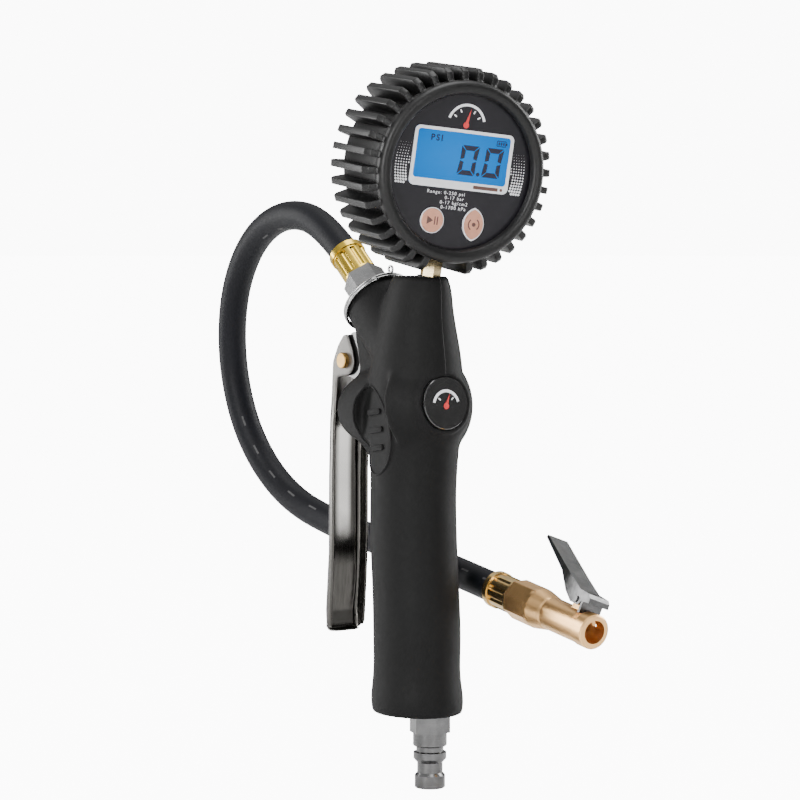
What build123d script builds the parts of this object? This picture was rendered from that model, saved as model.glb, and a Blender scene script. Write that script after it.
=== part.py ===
"""Digital tyre inflator gun: rubber-gripped valve body with a lever trigger, an air-line
inlet plug, a swivelling digital gauge in a finned boot, and a short hose with a clip-on chuck.

Millimetres.  +Z runs up the handle, -Y is the side the gauge faces, +Y is the trigger side.
The origin is on the inlet plug's nose, on the plug's axis.
"""
import os
from math import cos, pi, radians, sin, tan

from build123d import *

os.makedirs("parts", exist_ok=True)

# ---------------------------------------------------------------- driving dimensions

# Inlet plug (male half of an air-line coupling)
nose_tip_z = -3.5
nose_radius = 5.95
plug_thread_radius = 6.55
plug_hex_flats = 14.0
plug_bore_radius = 2.4

# Handle
grip_bottom_z = 25.0
neck_top_z = 196.0
grip_sections = [
    # height, half width in X, half depth in Y, centre in Y
    (25.0, 16.4, 19.0, 8.6),
    (27.5, 17.1, 19.7, 8.6),
    (38.0, 16.4, 19.2, 8.9),
    (52.0, 16.2, 19.0, 8.8),
    (66.0, 16.2, 18.9, 9.2),
    (80.0, 16.1, 18.8, 10.2),
    (96.0, 16.1, 18.8, 11.2),
    (114.0, 16.0, 18.6, 11.2),
    (130.0, 16.6, 19.2, 10.4),
    (147.0, 17.4, 20.1, 9.6),
    (160.0, 17.0, 19.8, 9.2),
    (172.0, 15.0, 17.8, 8.7),
    (184.0, 12.4, 15.6, 7.8),
    (neck_top_z, 8.8, 13.1, 6.6),
]
pad_floor = 14.9
pad_y = 15.5
pad_z = 136.2
pad_turn = 6.0
pad_lean = 9.0
pad_half_width = 11.0
pad_half_height = 16.8
casting_half_width = 11.5
casting_half_depth = 13.5
casting_centre_y = 8.5

# Valve: a cross bore from the badge at the front to the plunger at the back, tilted down
valve_axis_z = 146.6
valve_tilt = 6.0
badge_face = -10.7
badge_radius = 10.3
boss_rim_radius = 12.4
chamber_radius = 6.5
seat_bore_radius = 4.0
plunger_radius = 2.5
running_clearance = 0.05
boss_tip = 56.0
boss_flat_from = 49.0
boss_flat_half_width = 7.0
plunger_tip = 58.0

# Trigger
pin_y = 46.5
pin_z = 161.7
pin_radius = 2.0
lever_half_width = 8.6
lever_wall = 1.2
lug_half_width = 6.9

# Hose port, leaning back from the handle
port_y = 37.0
port_z = 186.5
port_tilt = 50.0
port_rubber_radius = 13.3
port_casting_radius = 10.2

# Hose and its crimped ferrules
hose_radius = 6.0
hose_bore_radius = 3.6
ferrule_radius = 6.9
ferrule_length = 15.5
flute_count = 10

# Gauge
stem_lean_side = 4.9
stem_lean_front = 6.5
gauge_swivel_rest = 9.4
gauge_height = 42.0
boot_back = -21.0
housing_back = -17.5
boot_front = 17.0
fin_count = 36
fin_outer_radius = 40.2
fin_thickness = 2.7
boot_core_radius = 33.6
boot_ring_radius = 35.0
boot_opening_radius = 29.4
housing_radius = 31.4
face_depth = 13.0

# Chuck
hose_into_ferrule = 12.0
chuck_sides = 8
chuck_flats = 14.8
chuck_neck_radius = 6.4
chuck_ring_radius = 6.75
chuck_bore_radius = 4.5
seal_seat_radius = 4.3
bore_floor = 53.6
chuck_length = 66.0
clip_roll = 20.0

# Hose route, from inside the upper ferrule to inside the lower one
hose_route = [
    (0.0, 47.725, 195.499),
    (0.0, 71.625, 215.554),
    (1.2, 103.2, 220.6),
    (3.6, 133.4, 209.4),
    (7.0, 155.2, 185.2),
    (11.0, 163.2, 153.6),
    (15.2, 156.2, 122.2),
    (20.0, 133.8, 98.4),
    (25.4, 99.8, 87.8),
    (28.8, 59.5, 82.6),
    (29.3, 18.4, 76.4),
    (27.5, -18.0, 71.3),
]


# ---------------------------------------------------------------- working planes

valve = Plane(
    origin=(0, 0, valve_axis_z),
    x_dir=(1, 0, 0),
    z_dir=(0, cos(radians(valve_tilt)), -sin(radians(valve_tilt))),
)
valve_section = Plane(origin=valve.origin, x_dir=(1, 0, 0), z_dir=-valve.y_dir)
valve_axis = Axis(valve.origin, valve.z_dir)

port = Plane(
    origin=(0, port_y, port_z),
    x_dir=(1, 0, 0),
    z_dir=(0, sin(radians(port_tilt)), cos(radians(port_tilt))),
)
port_section = Plane(origin=port.origin, x_dir=(1, 0, 0), z_dir=-port.y_dir)
port_axis = Axis(port.origin, port.z_dir)

stem_direction = Vector(tan(radians(stem_lean_side)), -tan(radians(stem_lean_front)), 1).normalized()
neck_point = Vector(0, 0, neck_top_z)
stem = Plane(origin=neck_point, x_dir=(1, 0, 0), z_dir=stem_direction)

level_face = Vector(-sin(radians(gauge_swivel_rest)), -cos(radians(gauge_swivel_rest)), 0)
face_direction = (level_face - stem_direction * level_face.dot(stem_direction)).normalized()
face_across = stem_direction.cross(face_direction)
gauge_centre = neck_point + stem_direction * gauge_height
gauge = Plane(origin=gauge_centre, x_dir=face_across, z_dir=face_direction)
gauge_section = Plane(origin=gauge_centre, x_dir=face_across, z_dir=-stem_direction)
gauge_axis = Axis(gauge_centre, face_direction)

chuck_out = (Vector(*hose_route[-1]) - Vector(*hose_route[-2])).normalized()
clip_up = Vector(sin(radians(clip_roll)), 0, cos(radians(clip_roll)))
chuck_side = chuck_out.cross(clip_up).normalized()
chuck_start = Vector(*hose_route[-1]) - chuck_out * hose_into_ferrule
chuck = Plane(origin=chuck_start, x_dir=chuck_side, z_dir=chuck_out)
chuck_section = Plane(origin=chuck_start, x_dir=chuck_side, z_dir=-chuck.y_dir)
chuck_axis = Axis(chuck_start, chuck_out)
# Seen from the side: along the axis is local X, the clip's side is local Y
chuck_profile = Plane(origin=chuck_start, x_dir=chuck_out, z_dir=chuck_side)

side = Plane.YZ


def save(piece, name):
    """Label a finished piece and write it as its own node."""
    piece.part.label = name
    export_step(piece.part, f"parts/{name}.step")


def ring(plane, outer, inner, start, end):
    """A plain tube between two distances along a plane's normal."""
    with BuildPart() as tube:
        with BuildSketch(plane.offset(start)):
            Circle(outer)
            Circle(inner, mode=Mode.SUBTRACT)
        extrude(amount=end - start)
    return tube


# ---------------------------------------------------------------- valve body and grip

with BuildPart() as casting:
    # Upright column, which narrows into the gauge neck
    with BuildSketch(Plane.XY.offset(grip_bottom_z + 2)):
        with Locations((0, casting_centre_y)):
            Ellipse(casting_half_width, casting_half_depth)
    extrude(amount=158 - grip_bottom_z - 2)
    with BuildSketch(Plane.XY.offset(158)):
        with Locations((0, casting_centre_y)):
            Ellipse(casting_half_width, casting_half_depth)
    with BuildSketch(Plane.XY.offset(neck_top_z - 1)):
        with Locations((0, 6)):
            Ellipse(7.4, 11)
    loft()
    # Inlet socket at the foot
    with BuildSketch(Plane.XY.offset(grip_bottom_z + 0.8)):
        Circle(9)
    extrude(amount=20)
    # Valve bosses, front and back
    with BuildSketch(valve.offset(-7.2)):
        Circle(10.2)
    extrude(amount=20)
    with BuildSketch(valve.offset(10)):
        Circle(10.5)
    with BuildSketch(valve.offset(53)):
        Circle(4.6)
    loft()
    # Hose port
    with BuildSketch(port.offset(-40)):
        Circle(port_casting_radius)
    extrude(amount=40.4)
    # Lug that carries the trigger pin, flanked by the lever's ears
    with BuildSketch(side):
        with BuildLine():
            Polyline((25, 150), (44, 155), (46.5, 155.5))
            RadiusArc((46.5, 155.5), (52.7, 161.7), -6.2)
            Polyline((52.7, 161.7), (51.8, 164.9), (47.0, 169.0))
            ThreePointArc((47.0, 169.0), (45.2, 171.9), (42.0, 173.2))
            Polyline((42.0, 173.2), (25, 173.4), (25, 150))
        make_face()
    extrude(amount=lug_half_width, both=True)

with BuildPart() as rubber_grip:
    for height, half_width, half_depth, centre_y in grip_sections:
        with BuildSketch(Plane.XY.offset(height)):
            with Locations((0, centre_y)):
                Ellipse(half_width, half_depth)
    loft()
    # Raised boss round the badge, and the cone that shields the plunger
    with BuildSketch(valve_section):
        with BuildLine():
            Polyline((0, -10.2), (boss_rim_radius - 0.8, -10.2))
            RadiusArc((boss_rim_radius - 0.8, -10.2), (boss_rim_radius, -9.4), -0.8)
            Polyline((boss_rim_radius, -9.4), (13.2, -5), (15.6, 3), (0, 3), (0, -10.2))
        make_face()
    revolve(axis=valve_axis)
    with BuildSketch(valve_section):
        with BuildLine():
            Polyline((0, 20), (18.6, 20))
            Spline((18.6, 20), (17.6, 29), (14.6, 40), (10.6, 50))
            RadiusArc((10.6, 50), (0, boss_tip), -14)
            Line((0, boss_tip), (0, 20))
        make_face()
    revolve(axis=valve_axis)
    # Flats on the cone's tip, so that it goes between the lever's sides
    with BuildSketch(valve.offset(boss_flat_from)):
        for flank in (-1, 1):
            with Locations((flank * (boss_flat_half_width + 5), 0)):
                Rectangle(10, 26)
    extrude(amount=boss_tip + 2 - boss_flat_from, mode=Mode.SUBTRACT)
    # Sleeve over the hose port
    with BuildSketch(port.offset(-34)):
        Circle(14.6)
    with BuildSketch(port.offset(-0.4)):
        Circle(port_rubber_radius)
    loft()
    # Spine between the port and the plunger cone, where the lug comes out
    with BuildSketch(side):
        Polygon(
            (16, 182), (38, 178), (40.6, 172), (38.6, 166), (37.2, 159), (38.4, 152),
            (43, 147), (40, 132), (28, 122), (16, 120),
            align=None,
        )
    extrude(amount=8.4, both=True)
    # Recess for the badge
    with BuildSketch(valve.offset(badge_face - 4)):
        Circle(badge_radius + 0.1)
    extrude(amount=8, mode=Mode.SUBTRACT)
    # Oval finger pads sunk in both flanks
    for flank in (-1, 1):
        pad = Plane(
            origin=(flank * pad_floor, pad_y, pad_z),
            x_dir=(0, 1, 0),
            z_dir=(flank * cos(radians(pad_turn)), sin(radians(pad_turn)), 0),
        )
        with BuildSketch(pad):
            with Locations(Location((0, 0, 0), (0, 0, -flank * pad_lean))):
                Ellipse(pad_half_width, pad_half_height)
        extrude(amount=6, mode=Mode.SUBTRACT)
    add(casting.part, mode=Mode.SUBTRACT)
    # Clearance round the plug's hexagon, and a hole for the plunger
    with BuildSketch(Plane.XY.offset(grip_bottom_z - 1)):
        Circle(8.4)
    extrude(amount=3, mode=Mode.SUBTRACT)
    with BuildSketch(valve.offset(50)):
        Circle(plunger_radius + 0.4)
    extrude(amount=8, mode=Mode.SUBTRACT)
    # Mouth of the neck, round the gauge's stem
    with BuildSketch(stem.offset(-3)):
        Circle(5.2)
    extrude(amount=8, mode=Mode.SUBTRACT)
save(rubber_grip, "rubber_grip")

with BuildPart() as valve_body:
    add(casting.part)
    # Inlet socket and passage
    with BuildSketch(Plane.XY.offset(grip_bottom_z)):
        Circle(plug_thread_radius)
    extrude(amount=14, mode=Mode.SUBTRACT)
    with BuildSketch(Plane.XY.offset(grip_bottom_z + 10)):
        Circle(3.2)
    extrude(amount=valve_axis_z - grip_bottom_z - 10, mode=Mode.SUBTRACT)
    # Valve chamber, seat bore and plunger guide
    with BuildSketch(valve.offset(-12)):
        Circle(chamber_radius)
    extrude(amount=18, mode=Mode.SUBTRACT)
    with BuildSketch(valve.offset(5)):
        Circle(seat_bore_radius)
    extrude(amount=13, mode=Mode.SUBTRACT)
    with BuildSketch(valve.offset(16)):
        Circle(plunger_radius + running_clearance)
    extrude(amount=45, mode=Mode.SUBTRACT)
    with BuildSketch(valve.offset(47)):
        Circle(3.6)
    extrude(amount=3, mode=Mode.SUBTRACT)
    # Outlet passages to the hose and the gauge
    with BuildSketch(Plane.XY.offset(valve_axis_z - 1)):
        with Locations((0, 11)):
            Circle(2.5)
    extrude(amount=18, mode=Mode.SUBTRACT)
    with BuildSketch(port.offset(-45)):
        Circle(2.8)
    extrude(amount=50, mode=Mode.SUBTRACT)
    with BuildSketch(port.offset(-13)):
        Circle(5.6)
    extrude(amount=15, mode=Mode.SUBTRACT)
    with BuildSketch(stem.offset(-38)):
        Circle(1.6)
    extrude(amount=40, mode=Mode.SUBTRACT)
    with BuildSketch(stem.offset(-13)):
        Circle(3.6)
    extrude(amount=15, mode=Mode.SUBTRACT)
    with BuildSketch(stem.offset(-0.95)):
        Circle(5.2)
    extrude(amount=5, mode=Mode.SUBTRACT)
    # Pin hole
    with BuildSketch(side.offset(-20)):
        with Locations((pin_y, pin_z)):
            Circle(pin_radius)
    extrude(amount=40, mode=Mode.SUBTRACT)
save(valve_body, "valve_body")

# ---------------------------------------------------------------- inlet plug

with BuildPart() as inlet_plug:
    with BuildSketch(Plane.XZ):
        with BuildLine():
            Polyline(
                (plug_bore_radius, nose_tip_z),
                (nose_radius - 0.4, nose_tip_z),
                (nose_radius, nose_tip_z + 0.4),
                (nose_radius, 1.5),
                (5.0, 2.6),
                (5.0, 6.5),
                (6.45, 8.1),
                (6.45, 10.6),
                (5.35, 11.0),
                (5.35, 12.7),
                (6.25, 13.0),
                (6.65, 13.4),
                (6.65, 18.2),
                (5.9, 18.4),
                (5.9, 26.0),
                (plug_thread_radius, 26.4),
                (plug_thread_radius, 37.2),
                (plug_thread_radius - 0.8, 38.0),
                (plug_bore_radius, 38.0),
                (plug_bore_radius, nose_tip_z),
            )
        make_face()
    revolve(axis=Axis.Z)
    with BuildSketch(Plane.XY.offset(18.3)):
        RegularPolygon(plug_hex_flats / 2, 6, major_radius=False, rotation=13)
        Circle(plug_bore_radius, mode=Mode.SUBTRACT)
    extrude(amount=6.7)
save(inlet_plug, "inlet_plug")

inlet_seal = ring(Plane.XY, 8.2, plug_thread_radius + 0.02, 25.0, 25.8)
save(inlet_seal, "inlet_seal")

# ---------------------------------------------------------------- valve train

with BuildPart() as valve_cap:
    with BuildSketch(valve.offset(-9.4)):
        Circle(10.0)
    extrude(amount=2.2)
    with BuildSketch(valve.offset(-7.2)):
        Circle(chamber_radius)
    extrude(amount=3.4)
    with BuildSketch(valve.offset(-3.8)):
        Circle(4.2)
        Circle(2.4, mode=Mode.SUBTRACT)
    extrude(amount=1.6)
save(valve_cap, "valve_cap")

badge_thickness = 1.2
with BuildPart() as badge_disc:
    with BuildSketch(valve.offset(badge_face)):
        Circle(badge_radius)
    extrude(amount=badge_thickness)
    chamfer(badge_disc.edges().group_by(Axis(valve.origin, valve.z_dir))[0], 0.3)
save(badge_disc, "badge_disc")

with BuildPart() as valve_plunger:
    with BuildSketch(valve_section):
        with BuildLine():
            Polyline(
                (0, 1.0),
                (5.2, 1.0),
                (5.2, 3.6),
                (4.4, 4.4),
                (2.2, 4.4),
                (2.2, 17.5),
                (plunger_radius, 17.8),
                (plunger_radius, plunger_tip - 1.2),
                (2.0, plunger_tip - 0.4),
                (1.2, plunger_tip),
                (0, plunger_tip),
                (0, 1.0),
            )
        make_face()
    revolve(axis=valve_axis)
save(valve_plunger, "valve_plunger")

seat_seal = ring(valve, 6.4, 2.9, 4.6, 5.9)
save(seat_seal, "seat_seal")

rod_seal = ring(valve, 3.6, plunger_radius + 0.03, 47.0, 49.6)
save(rod_seal, "rod_seal")

spring_turns = 2
spring_pitch = 2.0
with BuildPart() as valve_spring:
    with BuildLine() as spring_line:
        Helix(
            pitch=spring_pitch,
            height=spring_pitch * spring_turns,
            radius=4.75,
            center=valve.origin - valve.z_dir * 3.35,
            direction=valve.z_dir,
        )
    with BuildSketch(Plane(origin=spring_line.line @ 0, z_dir=spring_line.line % 0)):
        Circle(0.33)
    sweep()
save(valve_spring, "valve_spring")

# ---------------------------------------------------------------- trigger

# The lever seen from the side: outside of its back, inside of its back, and its front edge
lever_tip_z = 50.8
lever_back = [
    (47.9, 171.8),
    (51.8, 167.6),
    (55.4, 161.0),
    (58.2, 150.0),
    (59.7, 137.0),
    (60.6, 114.4),
    (60.9, 84.0),
    (63.0, 60.0),
]
lever_hollow = [
    (46.7, 171.2),
    (50.5, 167.0),
    (54.2, 160.6),
    (57.0, 149.8),
    (58.5, 137.0),
    (59.4, 114.4),
    (59.7, 84.0),
    (61.8, 60.0),
]
lever_front = [
    (57.4, lever_tip_z + 0.6),
    (56.6, 60.0),
    (54.9, 84.0),
    (54.5, 114.4),
    (53.4, 140.0),
    (52.2, 154.6),
]

with BuildPart() as trigger_lever:
    with BuildSketch(side):
        with BuildLine():
            Polyline((45.0, 172.2), (47.9, 171.8))
            Spline(*lever_back)
            Polyline(lever_back[-1], (62.4, lever_tip_z), (57.4, lever_tip_z + 0.6))
            Spline(*lever_front)
            Line((52.2, 154.6), (46.5, 155.5))
            RadiusArc((46.5, 155.5), (40.3, 161.7), 6.2)
            Polyline((40.3, 161.7), (41.6, 166.2), (45.0, 172.2))
        make_face()
    extrude(amount=lever_half_width, both=True)
    fillet(trigger_lever.edges().filter_by(Axis.Y, tolerance=8).group_by(Axis.Z)[0], 4.5)
    # Hollow of the pressed channel, open to the front
    with BuildSketch(side):
        with BuildLine():
            Polyline((30.0, 178.0), (43.8, 178.0), (46.7, 171.2))
            Spline(*lever_hollow)
            Polyline(lever_hollow[-1], (61.3, lever_tip_z + 1.3), (30, lever_tip_z + 1.3), (30.0, 178.0))
        make_face()
    extrude(amount=lever_half_width - lever_wall, both=True, mode=Mode.SUBTRACT)
    with BuildSketch(side.offset(-20)):
        with Locations((pin_y, pin_z)):
            Circle(pin_radius + running_clearance)
    extrude(amount=40, mode=Mode.SUBTRACT)
save(trigger_lever, "trigger_lever")

pin_head_radius = 3.15
pin_head_thickness = 1.8
with BuildPart() as trigger_pin:
    with BuildSketch(side.offset(-lever_half_width - 0.1)):
        with Locations((pin_y, pin_z)):
            Circle(pin_head_radius)
    extrude(amount=-pin_head_thickness)
    fillet(trigger_pin.edges().group_by(Axis.X)[0], 0.4)
    with BuildSketch(side.offset(-lever_half_width - 0.1)):
        with Locations((pin_y, pin_z)):
            Circle(pin_radius)
    extrude(amount=2 * lever_half_width + 2.4)
save(trigger_pin, "trigger_pin")

with BuildPart() as pin_clip:
    with BuildSketch(side.offset(lever_half_width + 0.5)):
        with Locations((pin_y, pin_z)):
            Circle(3.6)
            Circle(pin_radius, mode=Mode.SUBTRACT)
    extrude(amount=0.8)
save(pin_clip, "pin_clip")

# ---------------------------------------------------------------- hose port fittings

wire_radius = 0.6
with BuildPart() as port_ring:
    with Locations(port.offset(-1.3), port.offset(-2.5)):
        Torus(port_rubber_radius + wire_radius + 0.25, wire_radius)
    # Eye at the ring's end, on the neck side
    with Locations(Plane(origin=port.origin - port.y_dir * 15.6 - port.z_dir * 0.3, z_dir=(1, 0, 0))):
        Torus(1.3, 0.5)
save(port_ring, "port_ring")

nut_start = 0.4
nut_length = 11.6
with BuildPart() as hose_nut:
    with BuildSketch(port.offset(nut_start)):
        RegularPolygon(7.5, 6, major_radius=False, rotation=20)
    extrude(amount=nut_length)
    with BuildSketch(port.offset(nut_start - 12)):
        Circle(5.6)
    extrude(amount=12)
    # Flare that the port's mouth hides
    with BuildSketch(port.offset(nut_start)):
        Circle(8.4)
    extrude(amount=1.6)
    with BuildSketch(port.offset(nut_start - 14)):
        Circle(2.2)
    extrude(amount=40, mode=Mode.SUBTRACT)
save(hose_nut, "hose_nut")

ferrule_start = nut_start + nut_length


def ferrule(plane, base, collar_at_far_end):
    """Crimped sleeve over the hose end: long flutes between a collar and a plain rim."""
    far = base + ferrule_length
    collar = far - 2.6 if collar_at_far_end else base
    with BuildPart() as sleeve:
        with BuildSketch(plane.offset(base)):
            Circle(ferrule_radius)
        extrude(amount=ferrule_length)
        with BuildSketch(plane.offset(collar)):
            Circle(ferrule_radius + 0.45)
        extrude(amount=2.6)
        flute_from = base + 1.6 if collar_at_far_end else base + 3.4
        with BuildSketch(plane.offset(flute_from)):
            with PolarLocations(ferrule_radius + 0.55, flute_count):
                Circle(1.25)
        extrude(amount=ferrule_length - 5.0, mode=Mode.SUBTRACT)
        with BuildSketch(plane.offset(base + 1.2 if collar_at_far_end else base)):
            Circle(hose_radius + 0.04)
        extrude(amount=ferrule_length - 1.2, mode=Mode.SUBTRACT)
        with BuildSketch(plane.offset(base)):
            Circle(hose_bore_radius)
        extrude(amount=ferrule_length, mode=Mode.SUBTRACT)
    return sleeve


upper_ferrule = ferrule(port, ferrule_start, True)
save(upper_ferrule, "upper_ferrule")

upper_barb = ring(port, hose_bore_radius - 0.05, 2.2, ferrule_start, ferrule_start + 13.5)
save(upper_barb, "upper_barb")

# ---------------------------------------------------------------- hose

runs = [Vector(*b) - Vector(*a) for a, b in zip(hose_route, hose_route[1:])]
hose_bends = []
for before, after in zip(runs, runs[1:]):
    half_turn = radians(before.get_angle(after)) / 2
    hose_bends.append(0.45 * min(before.length, after.length) / tan(half_turn))
print("hose runs", [round(run.length, 1) for run in runs])
print("hose bend radii", [round(bend) for bend in hose_bends])

with BuildPart() as hose:
    with BuildLine() as hose_line:
        FilletPolyline(*hose_route, radius=hose_bends)
    with BuildSketch(Plane(origin=hose_route[0], z_dir=runs[0])):
        Circle(hose_radius)
        Circle(hose_bore_radius, mode=Mode.SUBTRACT)
    sweep()
hose_length = sum(edge.length for edge in hose_line.edges())
hose_section = pi * (hose_radius**2 - hose_bore_radius**2)
print("hose length", round(hose_length, 1))
print("hose volume ratio", round(hose.part.volume / hose_section / hose_length, 4))
save(hose, "hose")

# ---------------------------------------------------------------- chuck

lower_ferrule = ferrule(chuck, 0, False)
save(lower_ferrule, "lower_ferrule")

flats_start = ferrule_length
flats_end = 32.0
neck_start = 38.5
slot_at = 59.2
clip_pivot = (54.6, 9.2)
clip_pin_radius = 1.2
clip_half_width = 5.0
clip_wall = 0.9

with BuildPart() as chuck_body:
    with BuildSketch(chuck_section):
        with BuildLine():
            Polyline(
                (0, flats_end - 3),
                (7.9, flats_end - 3),
                (7.9, flats_end - 1.2),
                (chuck_neck_radius + 0.3, neck_start - 1),
                (chuck_neck_radius, neck_start),
                (chuck_neck_radius, slot_at + 0.4),
                (chuck_ring_radius, slot_at + 1.0),
                (chuck_ring_radius, chuck_length - 0.6),
                (chuck_ring_radius - 0.6, chuck_length),
                (0, chuck_length),
                (0, flats_end - 3),
            )
        make_face()
    revolve(axis=chuck_axis)
    with BuildSketch(chuck.offset(flats_start)):
        RegularPolygon(chuck_flats / 2, chuck_sides, major_radius=False)
    extrude(amount=flats_end - flats_start - 1.2)
    # Barb inside the hose
    with BuildSketch(chuck.offset(2.5)):
        Circle(hose_bore_radius - 0.05)
    extrude(amount=flats_start - 1.5)
    # Pivot lug on the neck
    with BuildSketch(chuck_profile):
        with BuildLine():
            Polyline((51.6, 4.5), (51.6, 9.2))
            ThreePointArc((51.6, 9.2), (54.6, 12.2), (57.4, 9.2))
            Polyline((57.4, 9.2), (57.4, 4.5), (51.6, 4.5))
        make_face()
    extrude(amount=3.2, both=True)
    with BuildSketch(chuck_profile):
        with Locations(clip_pivot):
            Circle(clip_pin_radius)
    extrude(amount=10, both=True, mode=Mode.SUBTRACT)
    # Air way, seal seat and the bore that a tyre valve enters
    with BuildSketch(chuck.offset(2)):
        Circle(2.0)
    extrude(amount=60, mode=Mode.SUBTRACT)
    with BuildSketch(chuck.offset(48)):
        Circle(seal_seat_radius)
    extrude(amount=6, mode=Mode.SUBTRACT)
    with BuildSketch(chuck.offset(bore_floor)):
        Circle(chuck_bore_radius)
    extrude(amount=20, mode=Mode.SUBTRACT)
    # Slot for the clip's claw
    with BuildSketch(chuck_profile):
        with Locations((slot_at, 4.6)):
            Rectangle(2.9, 5.4)
    extrude(amount=10, both=True, mode=Mode.SUBTRACT)
save(chuck_body, "chuck_body")

chuck_seal = ring(chuck, seal_seat_radius, 2.1, 48.0, 52.0)
save(chuck_seal, "chuck_seal")

with BuildPart() as valve_depressor:
    with BuildSketch(chuck.offset(43.5)):
        Circle(1.0)
    extrude(amount=9.4)
    with BuildSketch(chuck.offset(43.5)):
        Circle(1.95)
        Rectangle(1.2, 8.0, mode=Mode.SUBTRACT)
        Circle(1.0)
    extrude(amount=2.0)
save(valve_depressor, "valve_depressor")

with BuildPart() as clip_lever:
    with BuildSketch(chuck_profile):
        Polygon(
            (62.6, 9.4), (62.4, 11.4), (61.0, 12.8), (54.6, 13.4), (46.0, 17.2), (24.4, 27.6),
            (23.8, 26.6), (40.0, 17.2), (46.6, 10.6), (51.6, 7.4), (56.6, 7.4), (57.9, 9.2),
            (58.1, 9.2), (58.1, 4.8), (59.1, 4.8), (59.1, 9.2),
            align=None,
        )
    extrude(amount=clip_half_width, both=True)
    # Folded steel: open underneath and between the ears
    with BuildSketch(chuck_profile):
        Polygon(
            (58.1, 11.9), (54.3, 12.4), (45.6, 16.2), (23.0, 27.0), (20.0, 4.0), (58.1, 4.0),
            align=None,
        )
    extrude(amount=clip_half_width - clip_wall, both=True, mode=Mode.SUBTRACT)
    with BuildSketch(chuck_profile):
        with Locations(clip_pivot):
            Circle(clip_pin_radius + running_clearance)
    extrude(amount=10, both=True, mode=Mode.SUBTRACT)
save(clip_lever, "clip_lever")

with BuildPart() as clip_pin:
    with BuildSketch(chuck_profile):
        with Locations(clip_pivot):
            Circle(clip_pin_radius)
    extrude(amount=clip_half_width + 0.6, both=True)
save(clip_pin, "clip_pin")

with BuildPart() as clip_spring:
    for coil_start in (3.25, -4.0):
        with BuildSketch(chuck_profile.offset(coil_start)):
            with Locations(clip_pivot):
                Circle(2.0)
                Circle(1.3, mode=Mode.SUBTRACT)
        extrude(amount=0.75)
save(clip_spring, "clip_spring")

# ---------------------------------------------------------------- gauge

with BuildPart() as gauge_boot:
    # Core and fins in one outline, then trimmed to the stepped envelope
    with BuildSketch(gauge.offset(boot_back)):
        Circle(boot_core_radius)
        with PolarLocations(36.0, fin_count, start_angle=5):
            Rectangle(8.0, fin_thickness)
    extrude(amount=boot_front - boot_back)
    with BuildSketch(gauge_section):
        with BuildLine():
            Polyline(
                (0, boot_back),
                (fin_outer_radius - 2.0, boot_back),
                (fin_outer_radius, boot_back + 2.6),
                (fin_outer_radius, 11.0),
                (fin_outer_radius - 2.2, 13.6),
                (boot_ring_radius, 13.9),
                (boot_ring_radius, 14.6),
            )
            RadiusArc((boot_ring_radius, 14.6), (32.6, boot_front), -2.4)
            Polyline((32.6, boot_front), (0, boot_front), (0, boot_back))
        make_face()
    revolve(axis=gauge_axis, mode=Mode.INTERSECT)
    with BuildSketch(gauge_section):
        with BuildLine():
            Polyline((0, 11.0), (boot_ring_radius, 11.0), (boot_ring_radius, 14.6))
            RadiusArc((boot_ring_radius, 14.6), (32.6, boot_front), -2.4)
            Polyline((32.6, boot_front), (0, boot_front), (0, 11.0))
        make_face()
    revolve(axis=gauge_axis)
    # Mouth, cavity for the housing and the opening over the battery cover
    with BuildSketch(gauge_section):
        with BuildLine():
            Polyline(
                (0, boot_back - 1),
                (24.6, boot_back - 1),
                (24.6, housing_back),
                (housing_radius, housing_back),
                (housing_radius, face_depth + 0.6),
                (boot_opening_radius, face_depth + 1.4),
                (boot_opening_radius + 0.9, boot_front + 1),
                (0, boot_front + 1),
                (0, boot_back - 1),
            )
        make_face()
    revolve(axis=gauge_axis, mode=Mode.SUBTRACT)
    # Hole where the stem comes in
    with BuildSketch(stem.offset(gauge_height - 41)):
        Circle(6.2)
    extrude(amount=12, mode=Mode.SUBTRACT)
save(gauge_boot, "gauge_boot")

with BuildPart() as gauge_housing:
    with BuildSketch(gauge_section):
        with BuildLine():
            Polyline(
                (22.2, housing_back),
                (housing_radius, housing_back),
                (housing_radius, face_depth - 1.6),
                (29.8, face_depth - 1.6),
                (29.8, housing_back + 1.8),
                (22.2, housing_back + 1.8),
                (22.2, housing_back),
            )
        make_face()
    revolve(axis=gauge_axis)
    with BuildSketch(stem.offset(gauge_height - 36)):
        Circle(5.0)
    extrude(amount=12, mode=Mode.SUBTRACT)
save(gauge_housing, "gauge_housing")

lcd_centre = (0, 4.7)
lcd_size = (42.2, 22.7)
button_height = -19.4
left_button_at = (-9.1, button_height)
right_button_at = (8.5, button_height)
left_button_radius = 4.6
leaf_half_height = 5.7
leaf_half_width = 4.0
leaf_clearance = 0.15

right_button_plane = Plane(
    origin=gauge.from_local_coords(Vector(right_button_at[0], right_button_at[1], 0)),
    x_dir=gauge.x_dir,
    z_dir=gauge.z_dir,
)

with BuildPart() as face_plate:
    with BuildSketch(gauge.offset(face_depth - 1.5)):
        Circle(housing_radius - 0.2)
    extrude(amount=1.5)
    with BuildSketch(gauge.offset(face_depth - 2)):
        with Locations(lcd_centre):
            RectangleRounded(*lcd_size, 2.0)
    extrude(amount=3, mode=Mode.SUBTRACT)
    with BuildSketch(gauge.offset(face_depth - 2)):
        with Locations(left_button_at):
            Circle(left_button_radius + 0.15)
    extrude(amount=3, mode=Mode.SUBTRACT)
    with BuildSketch(right_button_plane.offset(face_depth - 2)):
        with BuildLine():
            ThreePointArc((0, -leaf_half_height), (leaf_half_width, 0), (0, leaf_half_height))
            ThreePointArc((0, leaf_half_height), (-leaf_half_width, 0), (0, -leaf_half_height))
        make_face()
        offset(amount=leaf_clearance)
    extrude(amount=3, mode=Mode.SUBTRACT)
save(face_plate, "face_plate")

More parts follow.
